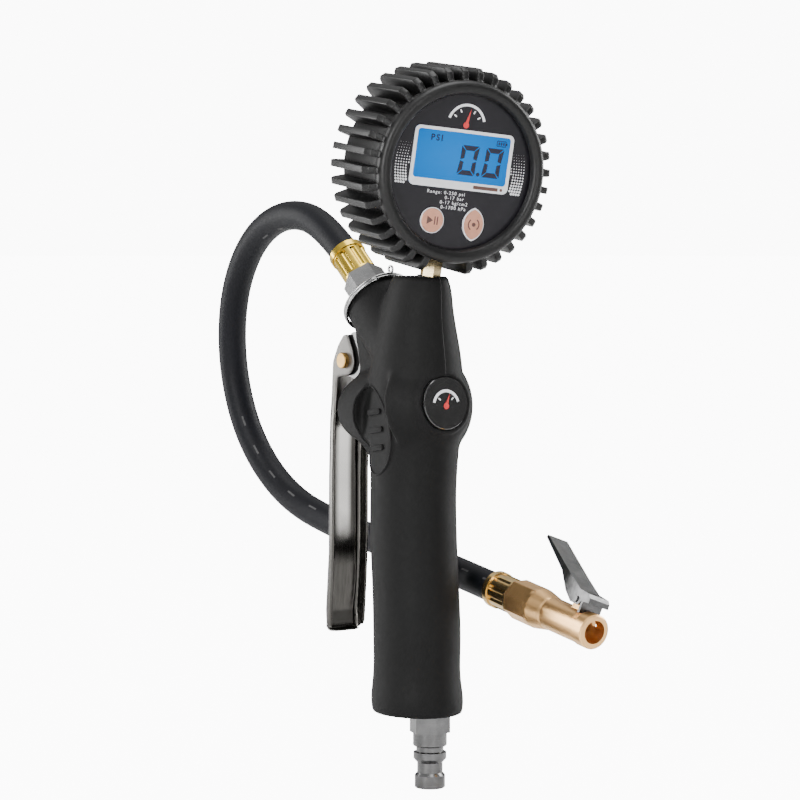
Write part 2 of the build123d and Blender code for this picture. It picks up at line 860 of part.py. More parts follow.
with BuildPart() as lcd_window:
    with BuildSketch(gauge.offset(face_depth - 1.2)):
        with Locations(lcd_centre):
            RectangleRounded(lcd_size[0] - 0.1, lcd_size[1] - 0.1, 1.9)
    extrude(amount=1.4)
save(lcd_window, "lcd_window")

with BuildPart() as lcd_module:
    with BuildSketch(gauge.offset(face_depth - 4.6)):
        with Locations(lcd_centre):
            Rectangle(lcd_size[0] - 1.2, lcd_size[1] - 1.2)
    extrude(amount=3.3)
save(lcd_module, "lcd_module")

with BuildPart() as circuit_board:
    with BuildSketch(gauge.offset(face_depth - 6.4)):
        Circle(28.5)
    extrude(amount=1.6)
    # Tact switches under the two buttons
    with BuildSketch(gauge.offset(face_depth - 4.8)):
        with Locations(left_button_at, right_button_at):
            Rectangle(5.0, 5.0)
    extrude(amount=1.2)
save(circuit_board, "circuit_board")

with BuildPart() as units_button:
    with BuildSketch(gauge.offset(face_depth - 2.6)):
        with Locations(left_button_at):
            Circle(left_button_radius)
    extrude(amount=3.5)
    fillet(units_button.edges().group_by(Axis(gauge_centre, face_direction))[-1], 0.3)
save(units_button, "units_button")

with BuildPart() as power_button:
    with BuildSketch(right_button_plane.offset(face_depth - 2.6)):
        with BuildLine():
            ThreePointArc((0, -leaf_half_height), (leaf_half_width, 0), (0, leaf_half_height))
            ThreePointArc((0, leaf_half_height), (-leaf_half_width, 0), (0, -leaf_half_height))
        make_face()
    extrude(amount=3.5)
save(power_button, "power_button")

cell_radius = 5.2
cell_length = 44.0
with BuildPart() as battery_cells:
    for height in (-7.4, 7.4):
        with BuildSketch(
            Plane(
                origin=gauge.from_local_coords(Vector(-cell_length / 2, height, -8.2)),
                x_dir=gauge.z_dir,
                z_dir=gauge.x_dir,
            )
        ):
            Circle(cell_radius)
        extrude(amount=cell_length)
save(battery_cells, "battery_cells")

with BuildPart() as battery_tray:
    with BuildSketch(gauge.offset(-2.6)):
        Rectangle(50, 27)
    extrude(amount=1.4)
    with BuildSketch(gauge.offset(-12.0)):
        with Locations((24.0, 0), (-24.0, 0)):
            Rectangle(1.4, 24)
    extrude(amount=9.4)
save(battery_tray, "battery_tray")

screw_circle = 19.0
with BuildPart() as battery_cover:
    with BuildSketch(gauge.offset(boot_back + 0.2)):
        Circle(24.3)
    extrude(amount=1.8)
    # Rim that locates in the housing
    with BuildSketch(gauge.offset(boot_back + 2.0)):
        Circle(22.0)
        Circle(20.6, mode=Mode.SUBTRACT)
    extrude(amount=housing_back + 1.6 - boot_back - 2.0)
    with BuildSketch(gauge.offset(boot_back)):
        with PolarLocations(screw_circle, 3, start_angle=90):
            Circle(1.1)
    extrude(amount=5, mode=Mode.SUBTRACT)
save(battery_cover, "battery_cover")

with BuildPart() as cover_screws:
    with BuildSketch(gauge.offset(boot_back - 0.6)):
        with PolarLocations(screw_circle, 3, start_angle=90):
            Circle(1.9)
    extrude(amount=0.8)
    with BuildSketch(gauge.offset(boot_back + 0.2)):
        with PolarLocations(screw_circle, 3, start_angle=90):
            Circle(1.08)
    extrude(amount=1.8)
save(cover_screws, "cover_screws")

with BuildPart() as gauge_stem:
    # Threaded foot in the neck, hexagon, and the spigot that carries the sensor
    with BuildSketch(stem.offset(-11)):
        Circle(3.55)
    extrude(amount=11.3)
    with BuildSketch(stem.offset(0.2)):
        RegularPolygon(3.6, 6, major_radius=False, rotation=8)
    extrude(amount=gauge_height - 31)
    with BuildSketch(stem.offset(gauge_height - 34)):
        Circle(4.6)
    extrude(amount=8)
    with BuildSketch(stem.offset(-12)):
        Circle(1.5)
    extrude(amount=30, mode=Mode.SUBTRACT)
save(gauge_stem, "gauge_stem")

stem_seal = ring(stem, 5.1, 3.6, -0.95, 0.15)
save(stem_seal, "stem_seal")

with BuildPart() as pressure_sensor:
    with BuildSketch(stem.offset(gauge_height - 26)):
        Rectangle(11, 6.5, rotation=-gauge_swivel_rest)
    extrude(amount=7)
save(pressure_sensor, "pressure_sensor")
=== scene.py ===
"""Tyre inflator gun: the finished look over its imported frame.

Metres.  +Z runs up the handle, -Y is the side the gauge faces, +Y is the lever side.
"""

import math

import bmesh
import bpy
from mathutils import Matrix, Vector


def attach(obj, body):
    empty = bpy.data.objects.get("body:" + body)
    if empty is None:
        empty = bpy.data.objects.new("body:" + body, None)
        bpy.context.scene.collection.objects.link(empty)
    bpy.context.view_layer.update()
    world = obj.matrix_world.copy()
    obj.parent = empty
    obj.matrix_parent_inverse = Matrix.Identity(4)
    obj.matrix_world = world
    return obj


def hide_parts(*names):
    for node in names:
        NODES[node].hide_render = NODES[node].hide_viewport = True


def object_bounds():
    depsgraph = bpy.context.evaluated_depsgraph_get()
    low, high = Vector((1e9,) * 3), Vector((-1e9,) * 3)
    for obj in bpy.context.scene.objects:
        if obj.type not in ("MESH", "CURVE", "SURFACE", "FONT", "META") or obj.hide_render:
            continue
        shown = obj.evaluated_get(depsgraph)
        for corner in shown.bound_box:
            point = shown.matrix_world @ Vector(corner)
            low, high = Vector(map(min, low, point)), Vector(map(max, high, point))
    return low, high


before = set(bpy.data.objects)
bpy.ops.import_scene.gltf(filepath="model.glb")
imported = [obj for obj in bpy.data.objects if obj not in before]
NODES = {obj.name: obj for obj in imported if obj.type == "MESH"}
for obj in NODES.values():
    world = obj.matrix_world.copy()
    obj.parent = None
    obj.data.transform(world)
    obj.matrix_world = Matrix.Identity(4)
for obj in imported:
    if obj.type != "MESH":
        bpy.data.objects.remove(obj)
CAD_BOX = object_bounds()

bl_info = {
    "name": "Tyre inflator gun",
    "version": (1, 0, 0),
    "blender": (4, 5, 0),
    "location": "View3D > Sidebar > Inflator",
    "description": "Builds the looks of a hand-held tyre inflator gun over its frame",
    "category": "Add Mesh",
}

MM = 0.001

# ---------------------------------------------------------------- places shared with the solids

STEM_AXIS = Vector((math.tan(math.radians(4.9)), -math.tan(math.radians(6.5)), 1)).normalized()
LEVEL = Vector((-math.sin(math.radians(9.4)), -math.cos(math.radians(9.4)), 0))
FACE_AXIS = (LEVEL - STEM_AXIS * LEVEL.dot(STEM_AXIS)).normalized()
FACE_ACROSS = STEM_AXIS.cross(FACE_AXIS)
GAUGE_CENTRE = Vector((0, 0, 196 * MM)) + STEM_AXIS * 42 * MM
FACE_DEPTH = 13.0

VALVE_AXIS = Vector((0, math.cos(math.radians(6)), -math.sin(math.radians(6))))
VALVE_UP = Vector((1, 0, 0)).cross(VALVE_AXIS)
VALVE_CENTRE = Vector((0, 0, 146.6 * MM))

# Outside of the lever's back, as depth and height in millimetres, from its tip up
LEVER_BACK = [
    (62.4, 50.8),
    (63.0, 60.0),
    (60.9, 84.0),
    (60.6, 114.4),
    (59.7, 137.0),
    (58.2, 150.0),
    (55.4, 161.0),
    (51.8, 167.6),
    (47.9, 171.8),
]

PAD_FLOOR = 14.9
PAD_Y = 15.5
PAD_Z = 136.2
PAD_TURN = 6.0
PAD_LEAN = 9.0
PAD_HALF_WIDTH = 11.0
PAD_HALF_HEIGHT = 16.8

HOSE_ROUTE = [
    (0.0, 0.047725, 0.195499),
    (0.0, 0.071625, 0.215554),
    (0.0012, 0.1032, 0.2206),
    (0.0036, 0.1334, 0.2094),
    (0.0070, 0.1552, 0.1852),
    (0.0110, 0.1632, 0.1536),
    (0.0152, 0.1562, 0.1222),
    (0.0200, 0.1338, 0.0984),
    (0.0254, 0.0998, 0.0878),
    (0.0288, 0.0595, 0.0826),
    (0.0293, 0.0184, 0.0764),
    (0.0275, -0.0180, 0.0713),
]


def frame_matrix(origin, across, up, out):
    """Matrix that takes a drawing in X and Y, with Z standing out of it, to its place."""
    turn = Matrix((across, up, out)).transposed().to_4x4()
    return Matrix.Translation(origin) @ turn


GAUGE = frame_matrix(GAUGE_CENTRE, FACE_ACROSS, STEM_AXIS, FACE_AXIS)
BADGE = frame_matrix(VALVE_CENTRE - VALVE_AXIS * 10.7 * MM, Vector((1, 0, 0)), VALVE_UP, -VALVE_AXIS)


# ---------------------------------------------------------------- finishes


class Value:
    """A shader socket that takes part in sums written as plain expressions."""

    def __init__(self, finish, socket):
        self.finish = finish
        self.socket = socket

    def mix(self, operation, first, second, clamp=False):
        links = {0: first, 1: second}
        node = self.finish.node("ShaderNodeMath", links, operation=operation, use_clamp=clamp)
        return Value(self.finish, node.outputs[0])

    def __add__(self, other):
        return self.mix("ADD", self, other)

    def __radd__(self, other):
        return self.mix("ADD", other, self)

    def __sub__(self, other):
        return self.mix("SUBTRACT", self, other)

    def __rsub__(self, other):
        return self.mix("SUBTRACT", other, self)

    def __mul__(self, other):
        return self.mix("MULTIPLY", self, other)

    def __rmul__(self, other):
        return self.mix("MULTIPLY", other, self)

    def __abs__(self):
        return self.mix("ABSOLUTE", self, 0.0)

    def over(self, other):
        """1 where this is greater than the other, else 0."""
        return self.mix("GREATER_THAN", self, other)

    def clamped(self):
        return self.mix("ADD", self, 0.0, clamp=True)


class Finish:
    """A material under construction: nodes are added by type, settings and socket values."""

    def __init__(self, name):
        self.material = bpy.data.materials.new(name)
        self.material.use_nodes = True
        self.tree = self.material.node_tree
        self.tree.nodes.clear()
        self.output = self.tree.nodes.new("ShaderNodeOutputMaterial")
        self.shader = self.tree.nodes.new("ShaderNodeBsdfPrincipled")
        self.tree.links.new(self.shader.outputs[0], self.output.inputs[0])
        self.place = Value(self, self.node("ShaderNodeTexCoord").outputs["Object"])

    def node(self, kind, links=None, **options):
        made = self.tree.nodes.new(kind)
        for key, option in options.items():
            setattr(made, key, option)
        for key, value in (links or {}).items():
            if isinstance(value, Value):
                self.tree.links.new(value.socket, made.inputs[key])
            elif value is not None:
                made.inputs[key].default_value = value
        return made

    def noise(self, scale, detail=2.0, roughness=0.5, place=None):
        links = {"Vector": place or self.place, "Scale": scale, "Detail": detail, "Roughness": roughness}
        return Value(self, self.node("ShaderNodeTexNoise", links).outputs[0])

    def stretched(self, origin, turn, scale):
        """Object place with its origin moved, turned, then scaled along the turned axes."""
        links = {"Vector": self.place, "Location": origin, "Rotation": turn, "Scale": scale}
        node = self.node("ShaderNodeMapping", links, vector_type="TEXTURE")
        return Value(self, node.outputs[0])

    def axis_value(self, place, letter):
        node = self.node("ShaderNodeSeparateXYZ", {0: place})
        return Value(self, node.outputs[letter])

    def blend(self, factor, first, second):
        node = self.node("ShaderNodeMix", {0: factor, 6: first, 7: second}, data_type="RGBA")
        return Value(self, node.outputs[2])

    def bump(self, height, distance, strength=1.0, under=None):
        links = {"Height": height, "Distance": distance, "Strength": strength, "Normal": under}
        return Value(self, self.node("ShaderNodeBump", links).outputs[0])

    def give(self, **sockets):
        """Set or link the shader's own sockets, with spaces written as underscores."""
        for key, value in sockets.items():
            target = self.shader.inputs[key.replace("_", " ")]
            if isinstance(value, Value):
                self.tree.links.new(value.socket, target)
            else:
                target.default_value = value
        return self.material


def grey(level):
    return (level, level, level, 1.0)


def rubber(name, dark, light, rough=0.55, grain=0.00003, specular=0.14, seam=False):
    """Moulded rubber: fine pebble, cloudy bloom and slightly paler scuffed patches."""
    finish = Finish(name)
    pebble = finish.noise(2600, 3)
    cloud = finish.noise(38, 4, 0.6)
    scuff = (finish.noise(160, 5, 0.7) * 2.6 - 1.3).clamped()
    tone = finish.blend((cloud * 0.7 + scuff * 0.3).clamped(), dark, light)
    normal = finish.bump(pebble, grain, 0.8)
    normal = finish.bump(cloud, 0.0002, 0.25, normal)
    if seam:
        # Mould line down the front, above the badge
        local = finish.stretched((0, 0, 0), (0, 0, 0), (MM, MM, MM))
        line = 1 - (abs(finish.axis_value(local, "X")) * 3.5).clamped()
        front = ((finish.axis_value(local, "Y") * -1 - 4) * 0.5).clamped()
        high = ((finish.axis_value(local, "Z") - 158) * 0.3).clamped()
        normal = finish.bump(1 - line * front * high, 0.0006, 0.9, normal)
    return finish.give(
        Base_Color=tone,
        Roughness=rough + cloud * 0.14 - scuff * 0.06,
        Normal=normal,
        Specular_IOR_Level=specular,
    )


def hose_cover():
    """Extruded hose: faint long draw lines, a satin skin and a row of pale printed dashes."""
    finish = Finish("hose_cover_finish")
    around = Value(finish, finish.node("ShaderNodeUVMap", uv_map="along").outputs[0])
    split = finish.node("ShaderNodeSeparateXYZ", {0: around})
    along = Value(finish, split.outputs["Y"])
    turn = Value(finish, split.outputs["X"])
    lines = finish.noise(900, 2, 0.6)
    cloud = finish.noise(45, 4, 0.6)
    row = 1 - (abs(turn - 0.33) * 60).clamped()
    dash_wave = finish.node("ShaderNodeMath", {0: along * 420}, operation="SINE")
    dash = Value(finish, dash_wave.outputs[0]).over(0.55)
    group_wave = finish.node("ShaderNodeMath", {0: along * 37}, operation="SINE")
    group = Value(finish, group_wave.outputs[0]).over(0.1)
    print_mask = (row.over(0.35) * dash * group * 0.55).clamped()
    skin = finish.blend(cloud, (0.0012, 0.0013, 0.0022, 1), (0.003, 0.0034, 0.006, 1))
    tone = finish.blend(print_mask, skin, (0.09, 0.09, 0.09, 1))
    return finish.give(
        Base_Color=tone,
        Roughness=0.44 + cloud * 0.16,
        Normal=finish.bump(lines, 0.00002, 0.7),
        Specular_IOR_Level=0.16,
    )


def black_paint():
    finish = Finish("casting_paint_finish")
    peel = finish.noise(700, 3)
    cloud = finish.noise(70, 3)
    return finish.give(
        Base_Color=finish.blend(cloud, grey(0.003), grey(0.009)),
        Roughness=0.24 + cloud * 0.12,
        Normal=finish.bump(peel, 0.00004, 0.6),
        Coat_Weight=0.4,
        Coat_Roughness=0.15,
    )


def metal(name, dark, light, rough, stretch, origin=(0, 0, 0), turn=(0, 0, 0), grain=0.00001, tarnish=0.5):
    """Worked metal: fine tool marks along one direction and a cloudy tarnish."""
    finish = Finish(name)
    marks = finish.noise(1.0, 4, 0.65, finish.stretched(origin, turn, stretch))
    cloud = finish.noise(120, 4, 0.6)
    wear = (cloud * 1.8 - 0.4).clamped()
    tone = finish.blend((wear * tarnish + marks * 0.35).clamped(), light, dark)
    return finish.give(
        Base_Color=tone,
        Metallic=1.0,
        Roughness=rough + marks * 0.12 + wear * 0.06,
        Normal=finish.bump(marks, grain, 0.6),
    )


def lever_steel_with_painted_highlight():
    """Dark polished lever. The bright band up its channel, which fades out below mid height, and the paler
    top by its pivot are painted highlight: they stay put as light moves.
    """
    finish = Finish("lever_steel_finish")
    local = finish.stretched((0, 0, 0), (0, 0, 0), (MM, MM, MM))
    across = finish.axis_value(local, "X")
    depth = finish.axis_value(local, "Y")
    height = finish.axis_value(local, "Z")
    marks = finish.noise(1.0, 4, 0.65, finish.stretched((0, 0, 0), (0, 0, 0), (0.0009, 0.0009, 0.03)))
    cloud = finish.noise(150, 4, 0.6)
    # Masks for the painted highlight: a band down the web's middle, its upper part, the web itself and the
    # top by the pivot
    band = 1 - ((abs(across + 0.6) - 1.8) * 0.45).clamped()
    upper = ((height + cloud * 10 - 91) * 0.07).clamped()
    web = ((depth - 52) * 0.5).clamped()
    pivot = ((height - 138) * 0.12).clamped()
    # Painted highlight on the channel and by the pivot, with faint real tool marks mixed in
    painted_highlight_and_marks = (band * upper * web * 0.9 + pivot * 0.13 + marks * 0.1).clamped()
    tone = finish.blend(painted_highlight_and_marks, (0.028, 0.026, 0.023, 1), (0.86, 0.84, 0.8, 1))
    return finish.give(
        Base_Color=tone,
        Metallic=1.0,
        Roughness=0.1 + marks * 0.1 + cloud * 0.06 + pivot * 0.3,
        Normal=finish.bump(marks, 0.000012, 0.6),
    )


def plastic(name, dark, light, rough=0.4, coat=0.0):
    finish = Finish(name)
    grain = finish.noise(1800, 2)
    cloud = finish.noise(60, 3)
    return finish.give(
        Base_Color=finish.blend(cloud, dark, light),
        Roughness=rough + cloud * 0.08,
        Normal=finish.bump(grain, 0.00002, 0.5),
        Coat_Weight=coat,
        Coat_Roughness=0.08,
    )


def lit_display():
    """Backlit display: azure, a little brighter in the middle, under a clear window."""
    finish = Finish("display_finish")
    origin = GAUGE @ Vector((0, 4.7 * MM, FACE_DEPTH * MM))
    turn = GAUGE.to_euler()
    local = finish.stretched(origin, turn, (0.021, 0.0113, 0.02))
    across = abs(finish.axis_value(local, "X"))
    up = abs(finish.axis_value(local, "Y"))
    glow = (1 - (across * across * 0.35 + up * up * 0.25)).clamped()
    cloud = finish.noise(90, 3)
    lit = finish.blend(glow * 0.9 + cloud * 0.1, (0.0, 0.15, 0.66, 1), (0.0, 0.33, 1.0, 1))
    return finish.give(
        Base_Color=finish.blend(glow, (0.0, 0.004, 0.03, 1), (0.0, 0.01, 0.06, 1)),
        Emission_Color=lit,
        Emission_Strength=0.82,
        Specular_IOR_Level=0.08,
        Roughness=0.12 + cloud * 0.05,
    )


def face_film():
    """Printed film of the gauge face: dark slate with a satin print grain."""
    finish = Finish("face_film_finish")
    grain = finish.noise(1500, 3)
    cloud = finish.noise(55, 3, 0.6)
    return finish.give(
        Base_Color=finish.blend(cloud, (0.005, 0.0045, 0.0065, 1), (0.01, 0.009, 0.012, 1)),
        Roughness=0.3 + cloud * 0.1,
        Normal=finish.bump(grain, 0.00001, 0.5),
        Specular_IOR_Level=0.3,
        Coat_Weight=0.08,
        Coat_Roughness=0.2,
    )


def ink(name, colour, rough=0.4):
    finish = Finish(name)
    cloud = finish.noise(500, 3)
    worn = tuple(c * 0.82 for c in colour[:3]) + (1.0,)
    return finish.give(
        Base_Color=finish.blend(cloud, worn, colour),
        Roughness=rough + cloud * 0.1,
        Normal=finish.bump(cloud, 0.000008, 0.5),
    )


def wear_on(node, material):
    """Give a solid of the frame its finish."""
    slots = NODES[node].data.materials
    if len(slots):
        for index in range(len(slots)):
            slots[index] = material
    else:
        slots.append(material)


FINISHES = {}


def make_finishes(props):
    """One finish for each material of the real tool."""
    brass = tuple(props.brass_colour) + (1.0,)
    brass_dark = tuple(c * 0.72 for c in props.brass_colour) + (1.0,)
    grip = props.rubber_level
    FINISHES["grip"] = rubber("grip_rubber_finish", grey(grip * 0.7), grey(grip * 1.35), 0.56, seam=True)
    FINISHES["boot"] = rubber("boot_rubber_finish", grey(grip * 0.75), grey(grip * 1.6), 0.34, specular=0.3)
    FINISHES["seal"] = rubber("seal_rubber_finish", grey(0.01), grey(0.03), 0.45)
    FINISHES["pale_seal"] = rubber("chuck_seal_finish", (0.32, 0.2, 0.15, 1), (0.6, 0.45, 0.38, 1), 0.5)
    FINISHES["hose"] = hose_cover()
    FINISHES["casting"] = black_paint()
    FINISHES["plug"] = metal(
        "plug_steel_finish", grey(0.04), grey(0.2), 0.12, (0.02, 0.02, 0.0002), grain=0.0000008,
    )
    FINISHES["lever"] = lever_steel_with_painted_highlight()
    FINISHES["clip"] = metal(
        "clip_steel_finish", grey(0.06), grey(0.24), 0.24, (0.01, 0.0006, 0.01), grain=0.00002, tarnish=0.8,
    )
    FINISHES["steel"] = metal("inner_steel_finish", grey(0.25), grey(0.5), 0.3, (0.003, 0.003, 0.003))
    FINISHES["chrome"] = metal("bright_chrome_finish", grey(0.16), grey(0.5), 0.06, (0.004, 0.004, 0.004))
    FINISHES["nut"] = metal(
        "nut_nickel_finish", grey(0.08), grey(0.4), 0.12, (0.004, 0.004, 0.0008), grain=0.000001,
    )
    FINISHES["pin"] = metal(
        "pin_brass_finish", (0.2, 0.11, 0.03, 1), (0.5, 0.31, 0.1, 1), 0.28, (0.002, 0.002, 0.002),
    )
    FINISHES["upper_ferrule"] = metal(
        "upper_ferrule_finish", (0.26, 0.17, 0.01, 1), (0.8, 0.56, 0.09, 1), 0.14,
        (0.01, 0.01, 0.01), grain=0.00003,
    )
    FINISHES["lower_ferrule"] = metal(
        "lower_ferrule_finish", (0.4, 0.26, 0.08, 1), (0.88, 0.64, 0.3, 1), 0.15,
        (0.01, 0.01, 0.01), grain=0.00003,
    )
    FINISHES["chuck"] = metal(
        "chuck_brass_finish", brass_dark, brass, 0.24, (0.004, 0.0012, 0.004), grain=0.000006, tarnish=0.2,
    )
    FINISHES["stem"] = metal(
        "stem_brass_finish", (0.25, 0.19, 0.1, 1), (0.6, 0.48, 0.27, 1), 0.18, (0.01, 0.01, 0.0004),
    )
    FINISHES["badge"] = plastic("badge_film_finish", grey(0.008), grey(0.02), 0.16, 0.6)
    FINISHES["housing"] = plastic("housing_plastic_finish", grey(0.012), grey(0.025), 0.42)
    FINISHES["display"] = lit_display()
    FINISHES["face"] = face_film()
    FINISHES["board"] = plastic("board_finish", (0.01, 0.08, 0.03, 1), (0.02, 0.14, 0.05, 1), 0.35)
    FINISHES["cell"] = plastic("cell_wrap_finish", (0.05, 0.12, 0.08, 1), (0.09, 0.2, 0.12, 1), 0.25, 0.4)
    FINISHES["ceramic"] = plastic("sensor_ceramic_finish", grey(0.6), grey(0.75), 0.35)
    FINISHES["button"] = metal(
        "button_film_finish", (0.45, 0.2, 0.13, 1), (0.8, 0.42, 0.3, 1), 0.34,
        (0.003, 0.003, 0.003), grain=0.00002,
    )
    FINISHES["white"] = ink("white_print_finish", (0.78, 0.78, 0.8, 1))
    FINISHES["frame"] = ink("display_frame_finish", (0.7, 0.71, 0.73, 1), 0.3)
    FINISHES["strip"] = ink("display_strip_finish", (0.5, 0.51, 0.52, 1), 0.35)
    FINISHES["segment"] = ink("segment_finish", (0.001, 0.002, 0.02, 1), 0.6)
    FINISHES["red"] = ink("red_print_finish", (0.6, 0.03, 0.03, 1))
    FINISHES["symbol"] = ink("button_symbol_finish", (0.09, 0.04, 0.03, 1))


# ---------------------------------------------------------------- mesh helpers


def piece(name, bm, material, body):
    """Turn a bmesh into a piece that rides on a body."""
    bmesh.ops.remove_doubles(bm, verts=bm.verts, dist=1e-7)
    bmesh.ops.recalc_face_normals(bm, faces=bm.faces)
    mesh = bpy.data.meshes.new(name)
    bm.to_mesh(mesh)
    bm.free()
    mesh.materials.append(material)
    made = bpy.data.objects.new(name, mesh)
    bpy.context.scene.collection.objects.link(made)
    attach(made, body)
    return made


def soften(made, width, angle=30, segments=2):
    """Round a piece's edges for good."""
    bevel = made.modifiers.new("edges", "BEVEL")
    bevel.width = width
    bevel.segments = segments
    bevel.limit_method = "ANGLE"
    bevel.angle_limit = math.radians(angle)
    bevel.harden_normals = True
    bake(made)


def bake(made):
    """Replace a piece's mesh with the evaluated one and drop its modifiers."""
    graph = bpy.context.evaluated_depsgraph_get()
    mesh = bpy.data.meshes.new_from_object(made.evaluated_get(graph))
    made.modifiers.clear()
    made.data = mesh


def smooth_places(bm, verts, rounds):
    """Move vertices towards their neighbours a number of times."""
    for _ in range(rounds):
        bmesh.ops.smooth_vert(
            bm, verts=verts, factor=0.5, use_axis_x=True, use_axis_y=True, use_axis_z=True
        )


def smooth(made, angle=35):
    """Shade smooth apart from edges sharper than an angle."""
    mesh = made.data
    for face in mesh.polygons:
        face.use_smooth = True
    bm = bmesh.new()
    bm.from_mesh(mesh)
    for edge in bm.edges:
        if len(edge.link_faces) == 2:
            edge.smooth = edge.calc_face_angle(0) < math.radians(angle)
    bm.to_mesh(mesh)
    bm.free()


def slab(bm, outline, low, high, place, hole=None):
    """Extrude an outline in millimetres, with an optional hole of as many points."""
    rings = []
    for points in [outline] + ([hole] if hole else []):
        bottom = [bm.verts.new(place @ Vector((x * MM, y * MM, low * MM))) for x, y in points]
        top = [bm.verts.new(place @ Vector((x * MM, y * MM, high * MM))) for x, y in points]
        rings.append((bottom, top))
    for bottom, top in rings:
        count = len(bottom)
        for i in range(count):
            j = (i + 1) % count
            bm.faces.new((bottom[i], bottom[j], top[j], top[i]))
    if hole:
        outer, inner = rings
        for level in (0, 1):
            count = len(outer[level])
            for i in range(count):
                j = (i + 1) % count
                bm.faces.new((outer[level][i], outer[level][j], inner[level][j], inner[level][i]))
    else:
        bm.faces.new(rings[0][0])
        bm.faces.new(rings[0][1])


def disc(cx, cy, radius, count=48, start=0.0, end=360.0):
    """Points on a circle, or on part of one, in millimetres."""
    whole = abs(end - start) >= 360
    steps = count if whole else count - 1
    points = []
    for i in range(count):
        angle = math.radians(start + (end - start) * i / steps)
        points.append((cx + radius * math.cos(angle), cy + radius * math.sin(angle)))
    return points


def arc_band(cx, cy, outer, inner, start, end, count=24):
    return disc(cx, cy, outer, count, start, end) + disc(cx, cy, inner, count, start, end)[::-1]


def rounded(cx, cy, width, height, radius, per_corner=8):
    """Rounded rectangle as points, in millimetres."""
    points = []
    corners = ((1, 1, 0), (-1, 1, 90), (-1, -1, 180), (1, -1, 270))
    for sx, sy, start in corners:
        x = cx + sx * (width / 2 - radius)
        y = cy + sy * (height / 2 - radius)
        points += disc(x, y, radius, per_corner, start, start + 90)
    return points


def leaf(cx, cy, half_width, half_height, count=24):
    """Pointed oval made of two arcs."""
    radius = (half_width**2 + half_height**2) / (2 * half_width)
    span = math.degrees(math.asin(half_height / radius))
    right = disc(cx + half_width - radius, cy, radius, count, -span, span)
    left = disc(cx - half_width + radius, cy, radius, count, 180 - span, 180 + span)
    return right[:-1] + left[:-1]


def lathe(bm, profile, place, steps=96):
    """Spin a closed profile of (radius, depth) in millimetres round a drawing's Z."""
    rows = []
    for i in range(steps):
        angle = 2 * math.pi * i / steps
        row = []
        for radius, depth in profile:
            point = Vector((radius * math.cos(angle), radius * math.sin(angle), depth)) * MM
            row.append(bm.verts.new(place @ point))
        rows.append(row)
    count = len(profile)
    for i in range(steps):
        ahead = rows[(i + 1) % steps]
        for j in range(count):
            k = (j + 1) % count
            bm.faces.new((rows[i][j], rows[i][k], ahead[k], ahead[j]))


def lettering(name, words, size, at, place, material, body, depth=0.05, swell=0.0, spread=1.0):
    """Generic figures and units as thin raised print."""
    curve = bpy.data.curves.new(name, "FONT")
    curve.body = words
    curve.size = size * MM
    curve.extrude = depth * MM / 2
    curve.offset = swell * MM
    curve.align_x = "CENTER"
    curve.align_y = "CENTER"
    curve.resolution_u = 3
    curve.space_character = spread
    text = bpy.data.objects.new(name + "_outline", curve)
    bpy.context.scene.collection.objects.link(text)
    bpy.context.view_layer.update()
    graph = bpy.context.evaluated_depsgraph_get()
    mesh = bpy.data.meshes.new_from_object(text.evaluated_get(graph))
    mesh.transform(place @ Matrix.Translation(Vector(at) * MM))
    bpy.data.objects.remove(text)
    bm = bmesh.new()
    bm.from_mesh(mesh)
    bpy.data.meshes.remove(mesh)
    return piece(name, bm, material, body)


# ---------------------------------------------------------------- repeated shapes by geometry nodes


class Tree:
    """A geometry node tree with named inputs."""

    def __init__(self, name):
        self.tree = bpy.data.node_groups.new(name, "GeometryNodeTree")
        self.sockets = {}
        self.tree.interface.new_socket("Geometry", in_out="INPUT", socket_type="NodeSocketGeometry")
        self.tree.interface.new_socket("Geometry", in_out="OUTPUT", socket_type="NodeSocketGeometry")
        self.entry = self.tree.nodes.new("NodeGroupInput")
        self.exit = self.tree.nodes.new("NodeGroupOutput")

    def input(self, name, kind, default=None):
        socket = self.tree.interface.new_socket(name, in_out="INPUT", socket_type=kind)
        if default is not None:
            socket.default_value = default
        self.sockets[name] = socket.identifier
        return self.entry.outputs[name]

    def node(self, kind, links=None, **options):
        made = self.tree.nodes.new(kind)
        for key, option in options.items():
            setattr(made, key, option)
        for key, value in (links or {}).items():
            if isinstance(value, bpy.types.NodeSocket):
                self.tree.links.new(value, made.inputs[key])
            else:
                made.inputs[key].default_value = value
        return made

    def end(self, geometry, material):
        real = self.node("GeometryNodeRealizeInstances", {"Geometry": geometry})
        dressed = self.node("GeometryNodeSetMaterial", {"Geometry": real.outputs[0]})
        dressed.inputs["Material"].default_value = material
        self.tree.links.new(dressed.outputs[0], self.exit.inputs[0])

    def grow(self, made, values):
        """Run the tree on a piece, keep the result as a plain mesh."""
        modifier = made.modifiers.new("shape", "NODES")
        modifier.node_group = self.tree
        for name, value in values.items():
            modifier[self.sockets[name]] = value
        bake(made)
        return made


def plain_object(name, bm, material):
    """A mesh object with no body yet."""
    mesh = bpy.data.meshes.new(name)
    bm.to_mesh(mesh)
    bm.free()
    mesh.materials.append(material)
    made = bpy.data.objects.new(name, mesh)
    bpy.context.scene.collection.objects.link(made)
    return made


